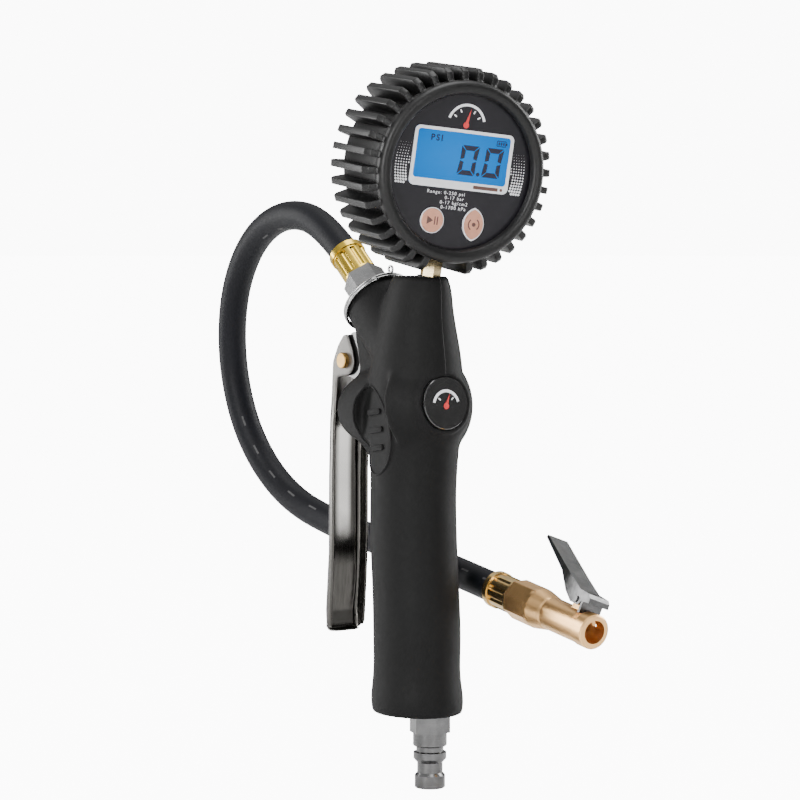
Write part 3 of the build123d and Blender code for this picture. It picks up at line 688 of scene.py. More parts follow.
def fin_ring(props, one_fin, material):
    """Fins set round the gauge by rotating one fin to each place, bar those at the stem."""
    tree = Tree("fin_ring")
    count = tree.input("Count", "NodeSocketInt", props.fin_count)
    fin = tree.input("Fin", "NodeSocketObject")
    points = tree.node("GeometryNodePoints", {"Count": count})
    index = tree.node("GeometryNodeInputIndex")
    share = tree.node("ShaderNodeMath", {0: index.outputs[0], 1: count}, operation="DIVIDE")
    half = tree.node("ShaderNodeMath", {0: 0.5, 1: count}, operation="DIVIDE")
    shifted = tree.node("ShaderNodeMath", {0: share.outputs[0], 1: half.outputs[0]}, operation="ADD")
    angle = tree.node("ShaderNodeMath", {0: shifted.outputs[0], 1: 2 * math.pi}, operation="MULTIPLY")
    turn = tree.node("ShaderNodeCombineXYZ", {2: angle.outputs[0]})
    shape = tree.node("GeometryNodeObjectInfo", {"Object": fin}, transform_space="ORIGINAL")
    to_turn = tree.node("FunctionNodeEulerToRotation", {0: turn.outputs[0]})
    placed = tree.node(
        "GeometryNodeInstanceOnPoints",
        {"Points": points.outputs[0], "Instance": shape.outputs["Geometry"], "Rotation": to_turn.outputs[0]},
    )
    near_stem = tree.node("ShaderNodeMath", {0: shifted.outputs[0], 1: 0.75}, operation="SUBTRACT")
    distance = tree.node("ShaderNodeMath", {0: near_stem.outputs[0]}, operation="ABSOLUTE")
    limit = tree.node("ShaderNodeMath", {0: half.outputs[0], 1: 1.2}, operation="MULTIPLY")
    drop = tree.node(
        "FunctionNodeCompare", {0: distance.outputs[0], 1: limit.outputs[0]}, operation="LESS_EQUAL"
    )
    kept = tree.node(
        "GeometryNodeDeleteGeometry",
        {"Geometry": placed.outputs[0], "Selection": drop.outputs[0]},
        domain="INSTANCE",
    )
    tree.end(kept.outputs[0], material)
    host = plain_object("boot_fins", bmesh.new(), material)
    tree.grow(host, {"Count": props.fin_count, "Fin": one_fin})
    host.data.transform(GAUGE)
    return host


def dot_field(name, side, material):
    """Halftone dots beside the display: rows of discs that shrink as they climb."""
    tree = Tree(name)
    pitch = tree.input("Pitch", "NodeSocketFloat", 1.05 * MM)
    size = tree.input("Dot radius", "NodeSocketFloat", 0.4 * MM)
    columns = 6
    rows = 15
    width = tree.node("ShaderNodeMath", {0: pitch, 1: columns - 1}, operation="MULTIPLY")
    height = tree.node("ShaderNodeMath", {0: pitch, 1: rows - 1}, operation="MULTIPLY")
    grid = tree.node(
        "GeometryNodeMeshGrid",
        {"Size X": width.outputs[0], "Size Y": height.outputs[0], "Vertices X": columns, "Vertices Y": rows},
    )
    place = tree.node("GeometryNodeInputPosition")
    split = tree.node("ShaderNodeSeparateXYZ", {0: place.outputs[0]})
    lifted = tree.node("ShaderNodeMath", {0: split.outputs[1], 1: height.outputs[0]}, operation="DIVIDE")
    fade = tree.node("ShaderNodeMath", {0: 0.62, 1: lifted.outputs[0]}, operation="SUBTRACT")
    fade_clamped = tree.node("ShaderNodeMath", {0: fade.outputs[0], 1: 0.14}, operation="MAXIMUM")
    radius = tree.node("ShaderNodeMath", {0: fade_clamped.outputs[0], 1: size}, operation="MULTIPLY")
    circle = tree.node(
        "GeometryNodeMeshCylinder",
        {"Vertices": 10, "Radius": 1.0, "Depth": 0.00006},
    )
    rise = tree.node("ShaderNodeCombineXYZ", {0: radius.outputs[0], 1: radius.outputs[0], 2: 1.0})
    bow = tree.node("ShaderNodeMath", {0: lifted.outputs[0], 1: lifted.outputs[0]}, operation="MULTIPLY")
    lean = tree.node("ShaderNodeMath", {0: bow.outputs[0], 1: -side * 4.0 * MM}, operation="MULTIPLY")
    slide = tree.node("ShaderNodeCombineXYZ", {0: lean.outputs[0]})
    moved = tree.node("GeometryNodeSetPosition", {"Geometry": grid.outputs[0], "Offset": slide.outputs[0]})
    dots = tree.node(
        "GeometryNodeInstanceOnPoints",
        {"Points": moved.outputs[0], "Instance": circle.outputs[0], "Scale": rise.outputs[0]},
    )
    tree.end(dots.outputs[0], material)
    host = plain_object(name, bmesh.new(), material)
    tree.grow(host, {"Pitch": 1.08 * MM, "Dot radius": 0.44 * MM})
    # Carry the field to its side of the display, then drop dots past the face's edge or the frame
    for vertex in host.data.vertices:
        vertex.co.x += side * 24.6 * MM
        vertex.co.y += 1.4 * MM
        vertex.co.z += (FACE_DEPTH + 0.02) * MM
    bm = bmesh.new()
    bm.from_mesh(host.data)
    far = [v for v in bm.verts if math.hypot(v.co.x, v.co.y) > 28.9 * MM or abs(v.co.x) < 21.6 * MM]
    islands = set()
    for start in far:
        stack = [start]
        while stack:
            vertex = stack.pop()
            if vertex not in islands:
                islands.add(vertex)
                stack += [e.other_vert(vertex) for e in vertex.link_edges]
    bmesh.ops.delete(bm, geom=list(islands), context="VERTS")
    bm.to_mesh(host.data)
    bm.free()
    host.data.transform(GAUGE)
    return host


# ---------------------------------------------------------------- properties


class InflatorSettings(bpy.types.PropertyGroup):
    rubber_level: bpy.props.FloatProperty(
        name="Rubber tone", description="How pale the black rubber is", default=0.0034, min=0.0, max=0.2
    )
    brass_colour: bpy.props.FloatVectorProperty(
        name="Brass", description="Colour of the chuck's brass", subtype="COLOR",
        default=(0.95, 0.57, 0.24), min=0, max=1,
    )
    fin_count: bpy.props.IntProperty(
        name="Fins", description="Fins round the gauge's boot", default=36, min=8, max=72
    )
    fin_thickness: bpy.props.FloatProperty(
        name="Fin thickness", description="Thickness of each fin, in millimetres", default=2.7, min=0.5, max=6
    )
    hose_diameter: bpy.props.FloatProperty(
        name="Hose diameter", description="Outside of the hose",
        default=0.012, unit="LENGTH", subtype="DISTANCE",
    )
    lever_voxel: bpy.props.FloatProperty(
        name="Lever detail", description="Size of the lever's mesh cells",
        default=0.0004, unit="LENGTH", subtype="DISTANCE",
    )
    grip_voxel: bpy.props.FloatProperty(
        name="Grip detail", description="Size of the grip's mesh cells",
        default=0.0008, unit="LENGTH", subtype="DISTANCE",
    )


def settings():
    return bpy.context.scene.inflator


class MadePart:
    bl_options = {"REGISTER", "UNDO"}


class INFLATOR_OT_finishes(MadePart, bpy.types.Operator):
    """Make the finishes and give them to the frame's solids"""

    bl_idname = "inflator.finishes"
    bl_label = "Finishes"

    def execute(self, context):
        make_finishes(settings())
        worn = {
            "rubber_grip": "grip", "valve_body": "casting", "inlet_plug": "plug", "inlet_seal": "seal",
            "valve_cap": "steel", "badge_disc": "badge", "valve_plunger": "steel", "seat_seal": "seal",
            "rod_seal": "seal", "valve_spring": "steel", "trigger_lever": "lever", "trigger_pin": "pin",
            "pin_clip": "chrome", "port_ring": "chrome", "hose_nut": "nut",
            "upper_ferrule": "upper_ferrule", "upper_barb": "upper_ferrule", "hose": "hose",
            "lower_ferrule": "lower_ferrule", "chuck_body": "chuck", "chuck_seal": "pale_seal",
            "valve_depressor": "steel", "clip_lever": "clip", "clip_pin": "clip", "clip_spring": "steel",
            "gauge_boot": "boot", "gauge_housing": "housing", "face_plate": "face",
            "lcd_window": "display", "lcd_module": "housing", "circuit_board": "board",
            "units_button": "button", "power_button": "button", "battery_cells": "cell",
            "battery_tray": "housing", "battery_cover": "housing", "cover_screws": "steel",
            "gauge_stem": "stem", "stem_seal": "seal", "pressure_sensor": "ceramic",
        }
        for node, finish in worn.items():
            wear_on(node, FINISHES[finish])
        return {"FINISHED"}


class INFLATOR_OT_hose(MadePart, bpy.types.Operator):
    """Lay the hose as one smooth tube from ferrule to ferrule"""

    bl_idname = "inflator.hose"
    bl_label = "Hose"

    def execute(self, context):
        props = settings()
        curve = bpy.data.curves.new("hose_line", "CURVE")
        curve.dimensions = "3D"
        spline = curve.splines.new("NURBS")
        spline.points.add(len(HOSE_ROUTE) - 1)
        for point, place in zip(spline.points, HOSE_ROUTE):
            point.co = (*place, 1.0)
        spline.order_u = 3
        spline.use_endpoint_u = True
        spline.resolution_u = 12
        line_object = bpy.data.objects.new("hose_line", curve)
        context.scene.collection.objects.link(line_object)
        context.view_layer.update()
        graph = context.evaluated_depsgraph_get()
        line = bpy.data.meshes.new_from_object(line_object.evaluated_get(graph))
        path = [v.co.copy() for v in line.vertices]
        bpy.data.objects.remove(line_object)
        made = self.tube(path, props.hose_diameter / 2)
        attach(made, "handle")
        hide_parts("hose")
        return {"FINISHED"}

    def tube(self, path, radius, around=32):
        """Closed tube along a path, with its length and turn kept as a map."""
        bm = bmesh.new()
        layer = bm.loops.layers.uv.new("along")
        rings = []
        lengths = [0.0]
        side = Vector((1, 0, 0))
        for i, point in enumerate(path):
            ahead = path[min(i + 1, len(path) - 1)] - path[max(i - 1, 0)]
            ahead.normalize()
            side = (side - ahead * side.dot(ahead)).normalized()
            up = ahead.cross(side)
            ring = []
            for j in range(around):
                angle = 2 * math.pi * j / around
                ring.append(bm.verts.new(point + (side * math.cos(angle) + up * math.sin(angle)) * radius))
            rings.append(ring)
            if i:
                lengths.append(lengths[-1] + (point - path[i - 1]).length)
        for i in range(len(rings) - 1):
            for j in range(around):
                k = (j + 1) % around
                face = bm.faces.new((rings[i][j], rings[i][k], rings[i + 1][k], rings[i + 1][j]))
                face.smooth = True
                maps = ((j, i), (j + 1, i), (j + 1, i + 1), (j, i + 1))
                for loop, (turn, step) in zip(face.loops, maps):
                    loop[layer].uv = (turn / around, lengths[step])
        bm.faces.new(rings[0])
        bm.faces.new(rings[-1])
        bmesh.ops.recalc_face_normals(bm, faces=bm.faces)
        mesh = bpy.data.meshes.new("hose_tube")
        bm.to_mesh(mesh)
        bm.free()
        mesh.materials.append(FINISHES["hose"])
        made = bpy.data.objects.new("hose_tube", mesh)
        bpy.context.scene.collection.objects.link(made)
        return made


class INFLATOR_OT_grip(MadePart, bpy.types.Operator):
    """Blend the moulded grip's bosses into its handle"""

    bl_idname = "inflator.grip"
    bl_label = "Grip"

    def execute(self, context):
        source = NODES["rubber_grip"]
        bm = bmesh.new()
        bm.from_mesh(source.data)
        bmesh.ops.remove_doubles(bm, verts=bm.verts, dist=1e-7)
        # Skirt that fillets the badge's boss into the handle
        skirt = [
            (11.2, 8.0), (14.0, 8.2), (14.9, 7.3), (15.9, 5.6), (17.2, 3.8), (18.8, 2.0),
            (20.8, 0.2), (21.2, -2.0), (11.2, -2.0),
        ]
        front = frame_matrix(VALVE_CENTRE, Vector((1, 0, 0)), VALVE_UP, -VALVE_AXIS)
        lathe(bm, skirt, front, 64)
        made = piece("moulded_grip", bm, FINISHES["grip"], "handle")
        remesh = made.modifiers.new("cells", "REMESH")
        remesh.mode = "VOXEL"
        remesh.voxel_size = settings().grip_voxel
        remesh.adaptivity = 0.0
        bake(made)
        self.relax(made.data)
        for face in made.data.polygons:
            face.use_smooth = True
        made.data.materials.clear()
        made.data.materials.append(FINISHES["grip"])
        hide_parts("rubber_grip")
        return {"FINISHED"}

    def near_pad(self, place):
        """Whether a place is on the oval finger pad of either flank, or just round it."""
        lean = math.radians(PAD_LEAN)
        across = place.y / MM - PAD_Y
        up = place.z / MM - PAD_Z
        short = (across * math.cos(lean) - up * math.sin(lean)) / PAD_HALF_WIDTH
        tall = (across * math.sin(lean) + up * math.cos(lean)) / PAD_HALF_HEIGHT
        return short**2 + tall**2 < 1.25

    def relax(self, mesh):
        """Smooth creases where the bosses meet the handle, and keep the flat ends crisp."""
        bm = bmesh.new()
        bm.from_mesh(mesh)
        low = min(v.co.z for v in bm.verts)
        high = max(v.co.z for v in bm.verts)
        port = Vector((0, math.sin(math.radians(50)), math.cos(math.radians(50))))
        port_face = Vector((0, 37 * MM, 186.5 * MM)).dot(port)
        soft = []
        rest = []
        for vertex in bm.verts:
            place = vertex.co
            at_end = place.z < low + 1.6 * MM or place.z > high - 1.4 * MM
            at_port = abs(place.dot(port) - port_face) < 1.5 * MM and place.y > 24 * MM
            from_valve = place - VALVE_CENTRE
            along = from_valve.dot(VALVE_AXIS)
            at_badge = along < -4 * MM and (from_valve - VALVE_AXIS * along).length < 13.4 * MM
            if at_end or at_port or at_badge or self.near_pad(place):
                rest.append(vertex)
            else:
                soft.append(vertex)
        smooth_places(bm, soft, 14)
        smooth_places(bm, rest, 2)
        bm.to_mesh(mesh)
        bm.free()


class INFLATOR_OT_lever(MadePart, bpy.types.Operator):
    """Press the lever's channel with round corners and soft rims"""

    bl_idname = "inflator.lever"
    bl_label = "Lever"

    def execute(self, context):
        bm = bmesh.new()
        bm.from_mesh(NODES["trigger_lever"].data)
        made = piece("pressed_lever", bm, FINISHES["lever"], "trigger")
        remesh = made.modifiers.new("cells", "REMESH")
        remesh.mode = "VOXEL"
        remesh.voxel_size = settings().lever_voxel
        bake(made)
        bm = bmesh.new()
        bm.from_mesh(made.data)
        for vertex in bm.verts:
            self.round_corner(vertex)
        smooth_places(bm, bm.verts, 7)
        bm.to_mesh(made.data)
        bm.free()
        for face in made.data.polygons:
            face.use_smooth = True
        made.data.materials.clear()
        made.data.materials.append(FINISHES["lever"])
        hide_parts("trigger_lever")
        return {"FINISHED"}

    def back_at(self, height):
        """Depth of the lever's back at a height, in millimetres."""
        for (low_y, low_z), (high_y, high_z) in zip(LEVER_BACK, LEVER_BACK[1:]):
            if height <= high_z:
                share = max(0.0, (height - low_z) / (high_z - low_z))
                return low_y + (high_y - low_y) * share
        return LEVER_BACK[-1][0]

    def round_corner(self, vertex):
        """Bring a vertex in to the rounded corner between the lever's back and side."""
        x = abs(vertex.co.x) / MM
        y = vertex.co.y / MM
        z = vertex.co.z / MM
        radius = 3.6 * min(1.0, max(0.15, (163 - z) / 14))
        back = self.back_at(z)
        inside = x < 7.8 and y < back - 0.6
        if inside:
            back -= 1.2
            radius = max(0.4, radius - 1.2)
        half = 7.4 if inside else 8.6
        over = x - (half - radius)
        if over > 0:
            over = min(over, radius)
            limit = back - radius + math.sqrt(radius**2 - over**2)
            if y > limit:
                vertex.co.y = limit * MM


class INFLATOR_OT_pads(MadePart, bpy.types.Operator):
    """Raise a rim and three ribs on the oval finger pads"""

    bl_idname = "inflator.pads"
    bl_label = "Finger pads"

    def execute(self, context):
        grip = bpy.data.objects["moulded_grip"]
        bm = bmesh.new()
        for flank in (-1, 1):
            turn = math.radians(PAD_TURN)
            out = Vector((flank * math.cos(turn), math.sin(turn), 0))
            centre = Vector((flank * PAD_FLOOR, PAD_Y, PAD_Z)) * MM
            lean = math.radians(PAD_LEAN)
            tall = Vector((0, math.sin(lean), math.cos(lean)))
            tall = (tall - out * tall.dot(out)).normalized()
            wide = tall.cross(out)
            pad = frame_matrix(centre, wide, tall, out)
            self.rim(bm, grip, pad)
            for height in (-7.0, 0.0, 7.0):
                width = 11.0 * math.sqrt(1 - (height / 15.0) ** 2)
                slab(bm, rounded(0.4, height, width, 2.2, 1.09), -0.6, 0.85, pad)
        made = piece("pad_ribs", bm, FINISHES["grip"], "handle")
        soften(made, 0.25 * MM)
        smooth(made, 60)
        return {"FINISHED"}

    def rim(self, bm, grip, pad, steps=96, bead=0.5, around=8):
        """A bead that follows the grip's surface round the pad."""
        inward = -(pad.to_3x3() @ Vector((0, 0, 1)))
        line = []
        for i in range(steps):
            angle = 2 * math.pi * i / steps
            x = (PAD_HALF_WIDTH + 0.55) * math.cos(angle) * MM
            y = (PAD_HALF_HEIGHT + 0.55) * math.sin(angle) * MM
            start = pad @ Vector((x, y, 12 * MM))
            hit, place, normal, _ = grip.ray_cast(start, inward)
            if hit:
                line.append((place, normal))
        rings = []
        count = len(line)
        for i in range(count):
            place, normal = line[i]
            ahead = (line[(i + 1) % count][0] - line[i - 1][0]).normalized()
            side = ahead.cross(normal).normalized()
            up = side.cross(ahead)
            ring = []
            for j in range(around):
                angle = 2 * math.pi * j / around
                offset = side * math.cos(angle) + up * math.sin(angle)
                ring.append(bm.verts.new(place + offset * bead * MM))
            rings.append(ring)
        for i in range(count):
            ahead = rings[(i + 1) % count]
            for j in range(around):
                k = (j + 1) % around
                bm.faces.new((rings[i][j], rings[i][k], ahead[k], ahead[j]))


class INFLATOR_OT_boot(MadePart, bpy.types.Operator):
    """Make the finned rubber boot round the gauge"""

    bl_idname = "inflator.boot"
    bl_label = "Gauge boot"

    def execute(self, context):
        props = settings()
        bm = bmesh.new()
        profile = [
            (24.6, -20.6), (25.0, -21.0), (33.2, -21.0), (33.6, -20.4), (33.6, 10.2), (34.2, 10.8),
            (34.7, 11.3), (35.0, 12.2), (35.0, 14.4), (34.75, 15.5), (34.1, 16.4), (33.3, 16.9),
            (32.4, 17.0), (30.9, 16.7), (30.35, 16.3), (30.0, 15.6), (29.5, 14.5), (31.0, 14.35),
            (31.42, 13.6), (31.42, -17.48), (24.6, -17.48),
        ]
        lathe(bm, profile, GAUGE, 120)
        core = piece("boot_core", bm, FINISHES["boot"], "gauge")
        smooth(core, 40)
        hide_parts("gauge_boot")
        fin = self.one_fin(props.fin_thickness / 2)
        fins = fin_ring(props, fin, FINISHES["boot"])
        bpy.data.objects.remove(fin)
        smooth(fins, 50)
        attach(fins, "gauge")
        return {"FINISHED"}

    def one_fin(self, half):
        """One bevelled plate that stands out along X, with a stepped front."""
        bm = bmesh.new()
        outline = [
            (32.5, -20.9), (38.2, -20.9), (40.0, -18.6), (40.1, 10.6),
            (38.3, 13.3), (35.6, 13.7), (34.4, 15.0), (32.5, 13.0),
        ]
        rows = []
        for side in (-half, half):
            rows.append([bm.verts.new(Vector((r, side, d)) * MM) for r, d in outline])
        count = len(outline)
        for i in range(count):
            j = (i + 1) % count
            bm.faces.new((rows[0][i], rows[0][j], rows[1][j], rows[1][i]))
        bm.faces.new(rows[0])
        bm.faces.new(rows[1])
        bmesh.ops.recalc_face_normals(bm, faces=bm.faces)
        made = plain_object("one_fin", bm, FINISHES["boot"])
        bevel = made.modifiers.new("edges", "BEVEL")
        bevel.width = 0.38 * MM
        bevel.segments = 2
        bevel.angle_limit = math.radians(20)
        bake(made)
        return made


class INFLATOR_OT_face(MadePart, bpy.types.Operator):
    """Print the gauge's face, its display and its two buttons"""

    bl_idname = "inflator.face"
    bl_label = "Gauge face"

    def execute(self, context):
        self.display()
        self.buttons()
        self.print_on_face()
        return {"FINISHED"}

    def display(self):
        top = FACE_DEPTH + 0.2
        outer = rounded(0, 4.7, 42.3, 22.8, 2.2)
        inner = rounded(0, 5.6, 39.6, 18.6, 1.2)
        bm = bmesh.new()
        slab(bm, outer, top - 0.1, top + 0.22, GAUGE, inner)
        made = piece("display_frame", bm, FINISHES["frame"], "gauge")
        smooth(made)
        bm = bmesh.new()
        slab(bm, rounded(11.6, -5.2, 10.6, 1.3, 0.15), top + 0.1, top + 0.26, GAUGE)
        slab(bm, disc(18.3, -5.2, 0.62, 20), top + 0.1, top + 0.26, GAUGE)
        made = piece("display_strip_marks", bm, FINISHES["symbol"], "gauge")
        # Figures of the display: two zeros with a point between them, in bars that lean
        bm = bmesh.new()
        for left in (-1.5, 9.0):
            self.zero(bm, left, top)
        slab(bm, disc(7.6, -0.2, 0.75, 20), top, top + 0.06, GAUGE)
        # Battery symbol
        case = rounded(16.0, 12.4, 4.0, 2.3, 0.3)
        slab(bm, case, top, top + 0.06, GAUGE, rounded(16.0, 12.4, 3.4, 1.7, 0.15))
        slab(bm, rounded(18.25, 12.4, 0.45, 0.9, 0.1), top, top + 0.06, GAUGE)
        for step in (-1.0, 0.0, 1.0):
            slab(bm, rounded(16.0 + step, 12.4, 0.6, 1.15, 0.08), top, top + 0.06, GAUGE)
        made = piece("display_figures", bm, FINISHES["segment"], "gauge")
        made = lettering(
            "display_units", "PSI", 3.3, (-11.6, 11.9, top + 0.04), GAUGE, FINISHES["segment"],
            "gauge", 0.06, 0.09, 1.35,
        )

    def zero(self, bm, left, top, width=7.6, height=11.4, bar=1.9, lean=0.09):
        """Seven-segment nought: six bars with mitred ends."""
        base = -1.0
        gap = 0.16

        def at(x, y):
            return (left + x + lean * y, base + y)

        w, h, t, g = width, height, bar, gap
        bars = [
            [at(g * 2, h), at(w - g * 2, h), at(w - t - g, h - t), at(t + g, h - t)],
            [at(g * 2, 0), at(t + g, t), at(w - t - g, t), at(w - g * 2, 0)],
            [at(0, h - g * 2), at(t, h - t - g), at(t, h / 2 + 0.7), at(0.3, h / 2 + g * 1.4)],
            [at(0, g * 2), at(0.3, h / 2 - g * 1.4), at(t, h / 2 - 0.7), at(t, t + g)],
            [at(w, h - g * 2), at(w - 0.3, h / 2 + g * 1.4), at(w - t, h / 2 + 0.7), at(w - t, h - t - g)],
            [at(w, g * 2), at(w - t, t + g), at(w - t, h / 2 - 0.7), at(w - 0.3, h / 2 - g * 1.4)],
        ]
        for outline in bars:
            slab(bm, outline, top, top + 0.06, GAUGE)

    def buttons(self):
        top = FACE_DEPTH + 0.9
        bm = bmesh.new()
        outer = disc(-9.1, -19.4, 4.95, 64)
        inner = disc(-9.1, -19.4, 4.66, 64)
        slab(bm, outer, FACE_DEPTH - 0.02, FACE_DEPTH + 0.5, GAUGE, inner)
        outer = leaf(8.5, -19.4, 4.5, 6.4)
        inner = leaf(8.5, -19.4, 4.06, 5.78)
        slab(bm, outer, FACE_DEPTH - 0.02, FACE_DEPTH + 0.5, GAUGE, inner)
        made = piece("button_rims", bm, FINISHES["white"], "gauge")
        smooth(made)
        bm = bmesh.new()
        slab(bm, [(-11.5, -21.0), (-8.9, -19.4), (-11.5, -17.8)], top, top + 0.05, GAUGE)
        for x in (-8.2, -7.1):
            slab(bm, rounded(x, -19.4, 0.5, 3.2, 0.1), top, top + 0.05, GAUGE)
        made = piece("units_symbol", bm, FINISHES["symbol"], "units_button")
        bm = bmesh.new()
        slab(bm, disc(8.5, -19.4, 0.8, 24), top, top + 0.05, GAUGE)
        slab(bm, arc_band(8.5, -19.4, 2.5, 2.0, -50, 60), top, top + 0.05, GAUGE)
        slab(bm, arc_band(8.5, -19.4, 2.5, 2.0, 130, 240), top, top + 0.05, GAUGE)
        made = piece("power_symbol", bm, FINISHES["symbol"], "power_button")

    def print_on_face(self):
        level = FACE_DEPTH + 0.03
        for name, side in (("left_dots", -1), ("right_dots", 1)):
            made = dot_field(name, side, FINISHES["white"])
            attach(made, "gauge")
        lines = ("Range: 0-250 psi", "0-17 bar", "0-17 kg/cm2", "0-1700 kPa")
        for number, words in enumerate(lines):
            x = -4.6 if number == 0 else -0.8
            made = lettering(
                f"range_line_{number}", words, 1.9, (x, -8.5 - number * 1.85, level), GAUGE,
                FINISHES["white"], "gauge", 0.05, 0.0, 1.25,
            )
        # Generic mark over the display: a dial arc with a needle
        bm = bmesh.new()
        slab(bm, arc_band(0, 17.9, 8.2, 7.2, 16, 164, 48), FACE_DEPTH, FACE_DEPTH + 0.06, GAUGE)
        for angle in (32, 61, 119, 148):
            turn = Matrix.Rotation(math.radians(angle), 4, "Z")
            spot = GAUGE @ Matrix.Translation((0, 17.9 * MM, 0)) @ turn
            slab(bm, rounded(5.9, 0, 1.3, 0.55, 0.1), FACE_DEPTH, FACE_DEPTH + 0.06, spot)
        made = piece("face_mark_arc", bm, FINISHES["white"], "gauge")
        bm = bmesh.new()
        turn = Matrix.Rotation(math.radians(78), 4, "Z")
        spot = GAUGE @ Matrix.Translation((0, 17.9 * MM, 0)) @ turn
        slab(bm, [(-0.6, -0.8), (6.4, 0.0), (-0.6, 0.8)], FACE_DEPTH + 0.01, FACE_DEPTH + 0.09, spot)
        slab(bm, disc(0, 17.9, 1.2, 24), FACE_DEPTH, FACE_DEPTH + 0.08, GAUGE)
        made = piece("face_mark_needle", bm, FINISHES["red"], "gauge")


class INFLATOR_OT_badge(MadePart, bpy.types.Operator):
    """Print a plain dial mark on the handle's badge"""

    bl_idname = "inflator.badge"
    bl_label = "Badge"

    def execute(self, context):
        bm = bmesh.new()
        slab(bm, arc_band(0, -1.2, 6.4, 5.3, 15, 165, 40), 0.0, 0.07, BADGE)
        for angle in (42, 138):
            turn = Matrix.Rotation(math.radians(angle), 4, "Z")
            spot = BADGE @ Matrix.Translation((0, -1.2 * MM, 0)) @ turn
            slab(bm, rounded(4.1, 0, 1.2, 0.5, 0.1), 0.0, 0.07, spot)
        made = piece("badge_arc", bm, FINISHES["white"], "handle")
        bm = bmesh.new()
        spot = BADGE @ Matrix.Translation((0, -1.2 * MM, 0)) @ Matrix.Rotation(math.radians(68), 4, "Z")
        slab(bm, [(-0.8, -0.8), (4.9, 0.0), (-0.8, 0.8)], 0.0, 0.1, spot)
        slab(bm, disc(0, -1.2, 1.25, 32), 0.0, 0.09, BADGE)
        made = piece("badge_needle", bm, FINISHES["red"], "handle")
        return {"FINISHED"}


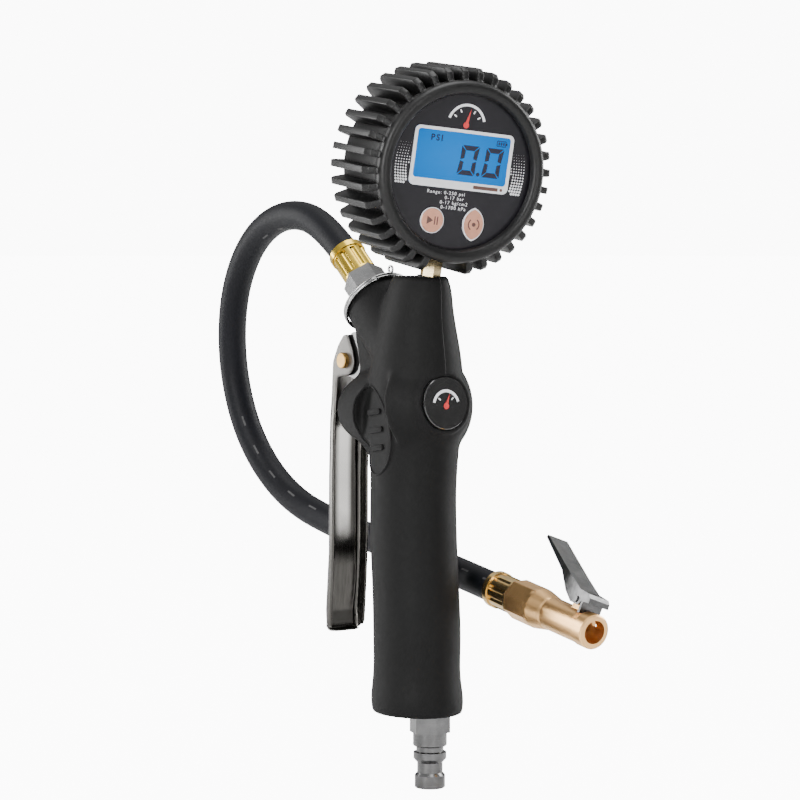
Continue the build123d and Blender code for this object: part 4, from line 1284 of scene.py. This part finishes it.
class INFLATOR_OT_stage(MadePart, bpy.types.Operator):
    """Put the gun on a pale studio floor with soft lights and a camera"""

    bl_idname = "inflator.stage"
    bl_label = "Stage"

    def execute(self, context):
        scene = context.scene
        low = CAD_BOX[0][2]
        finish = Finish("studio_floor_finish")
        cloud = finish.noise(3, 3)
        finish.give(Base_Color=finish.blend(cloud, grey(0.8), grey(0.82)), Roughness=0.7 + cloud * 0.05)
        glow = finish.node("ShaderNodeEmission", {"Color": (1.0, 1.0, 1.0, 1.0), "Strength": 14.5})
        seen = Value(finish, finish.node("ShaderNodeLightPath").outputs["Is Camera Ray"]) * 0.75
        mixed = finish.node("ShaderNodeMixShader", {0: seen})
        finish.tree.links.new(finish.shader.outputs[0], mixed.inputs[1])
        finish.tree.links.new(glow.outputs[0], mixed.inputs[2])
        finish.tree.links.new(mixed.outputs[0], finish.output.inputs[0])
        bm = bmesh.new()
        slab(bm, disc(0, 0, 9000, 64), (low - 0.021) / MM, (low - 0.0005) / MM, Matrix.Identity(4))
        floor = plain_object("studio_floor", bm, finish.material)
        scene.world = self.studio_world()
        lamps = (
            ("key_panel", (-1.25, -0.45, 0.55), 0.4, 1.1, 24.0),
            ("front_strip", (-0.25, -1.5, 0.35), 0.22, 1.2, 12.0),
            ("rim_panel", (1.1, -0.15, 0.45), 0.3, 1.1, 16.0),
            ("left_strip", (-0.6, 0.95, 0.3), 0.2, 1.0, 12.0),
            ("top_panel", (0.1, -0.1, 1.4), 0.9, 0.7, 12.0),
        )
        for name, place, width, height, power in lamps:
            lamp = bpy.data.lights.new(name, "AREA")
            lamp.shape = "RECTANGLE"
            lamp.size = width
            lamp.size_y = height
            lamp.energy = power
            made = bpy.data.objects.new(name, lamp)
            made.location = place
            aim = Vector((0, 0.02, 0.15)) - Vector(place)
            made.rotation_euler = aim.to_track_quat("-Z", "Y").to_euler()
            scene.collection.objects.link(made)
        camera = bpy.data.cameras.new("camera")
        camera.lens = 139.3
        camera.sensor_width = 36.0
        camera.clip_end = 50.0
        made = bpy.data.objects.new("camera", camera)
        target = Vector((-0.0095, 0.0068, 0.1482))
        made.location = (-0.6962, -0.9738, 0.2319)
        made.rotation_euler = (target - made.location).to_track_quat("-Z", "Y").to_euler()
        scene.collection.objects.link(made)
        scene.camera = made
        return {"FINISHED"}

    def studio_world(self):
        """White to look at, and for the object a soft sky that darkens towards the horizon."""
        world = bpy.data.worlds.new("studio")
        world.use_nodes = True
        tree = world.node_tree
        tree.nodes.clear()
        place = tree.nodes.new("ShaderNodeTexCoord")
        split = tree.nodes.new("ShaderNodeSeparateXYZ")
        ramp = tree.nodes.new("ShaderNodeValToRGB")
        stops = ramp.color_ramp.elements
        stops[0].position = 0.0
        stops[0].color = grey(0.1)
        stops[1].position = 0.8
        stops[1].color = grey(1.0)
        middle = stops.new(0.3)
        middle.color = grey(0.24)
        sky = tree.nodes.new("ShaderNodeBackground")
        white = tree.nodes.new("ShaderNodeBackground")
        white.inputs[1].default_value = 13.0
        path = tree.nodes.new("ShaderNodeLightPath")
        mixed = tree.nodes.new("ShaderNodeMixShader")
        output = tree.nodes.new("ShaderNodeOutputWorld")
        tree.links.new(place.outputs["Generated"], split.inputs[0])
        tree.links.new(split.outputs["Z"], ramp.inputs[0])
        tree.links.new(ramp.outputs[0], sky.inputs[0])
        tree.links.new(path.outputs["Is Camera Ray"], mixed.inputs[0])
        tree.links.new(sky.outputs[0], mixed.inputs[1])
        tree.links.new(white.outputs[0], mixed.inputs[2])
        tree.links.new(mixed.outputs[0], output.inputs[0])
        return world


OPERATORS = (
    INFLATOR_OT_finishes,
    INFLATOR_OT_hose,
    INFLATOR_OT_grip,
    INFLATOR_OT_pads,
    INFLATOR_OT_lever,
    INFLATOR_OT_boot,
    INFLATOR_OT_face,
    INFLATOR_OT_badge,
    INFLATOR_OT_stage,
)


class INFLATOR_PT_panel(bpy.types.Panel):
    """Sidebar panel that lists the pieces and their settings"""

    bl_label = "Tyre inflator gun"
    bl_idname = "INFLATOR_PT_panel"
    bl_space_type = "VIEW_3D"
    bl_region_type = "UI"
    bl_category = "Inflator"

    def draw(self, context):
        layout = self.layout
        props = settings()
        names = (
            "rubber_level", "brass_colour", "fin_count", "fin_thickness", "hose_diameter",
            "grip_voxel", "lever_voxel",
        )
        for name in names:
            layout.prop(props, name)
        for operator in OPERATORS:
            layout.operator(operator.bl_idname)


CLASSES = (InflatorSettings,) + OPERATORS + (INFLATOR_PT_panel,)


def register():
    for cls in CLASSES:
        bpy.utils.register_class(cls)
    bpy.types.Scene.inflator = bpy.props.PointerProperty(type=InflatorSettings)


def unregister():
    del bpy.types.Scene.inflator
    for cls in reversed(CLASSES):
        bpy.utils.unregister_class(cls)


def main():
    register()
    bpy.ops.inflator.finishes()
    bpy.ops.inflator.hose()
    bpy.ops.inflator.grip()
    bpy.ops.inflator.pads()
    bpy.ops.inflator.lever()
    bpy.ops.inflator.boot()
    bpy.ops.inflator.face()
    bpy.ops.inflator.badge()
    bpy.ops.inflator.stage()


if __name__ == "__main__":
    main()
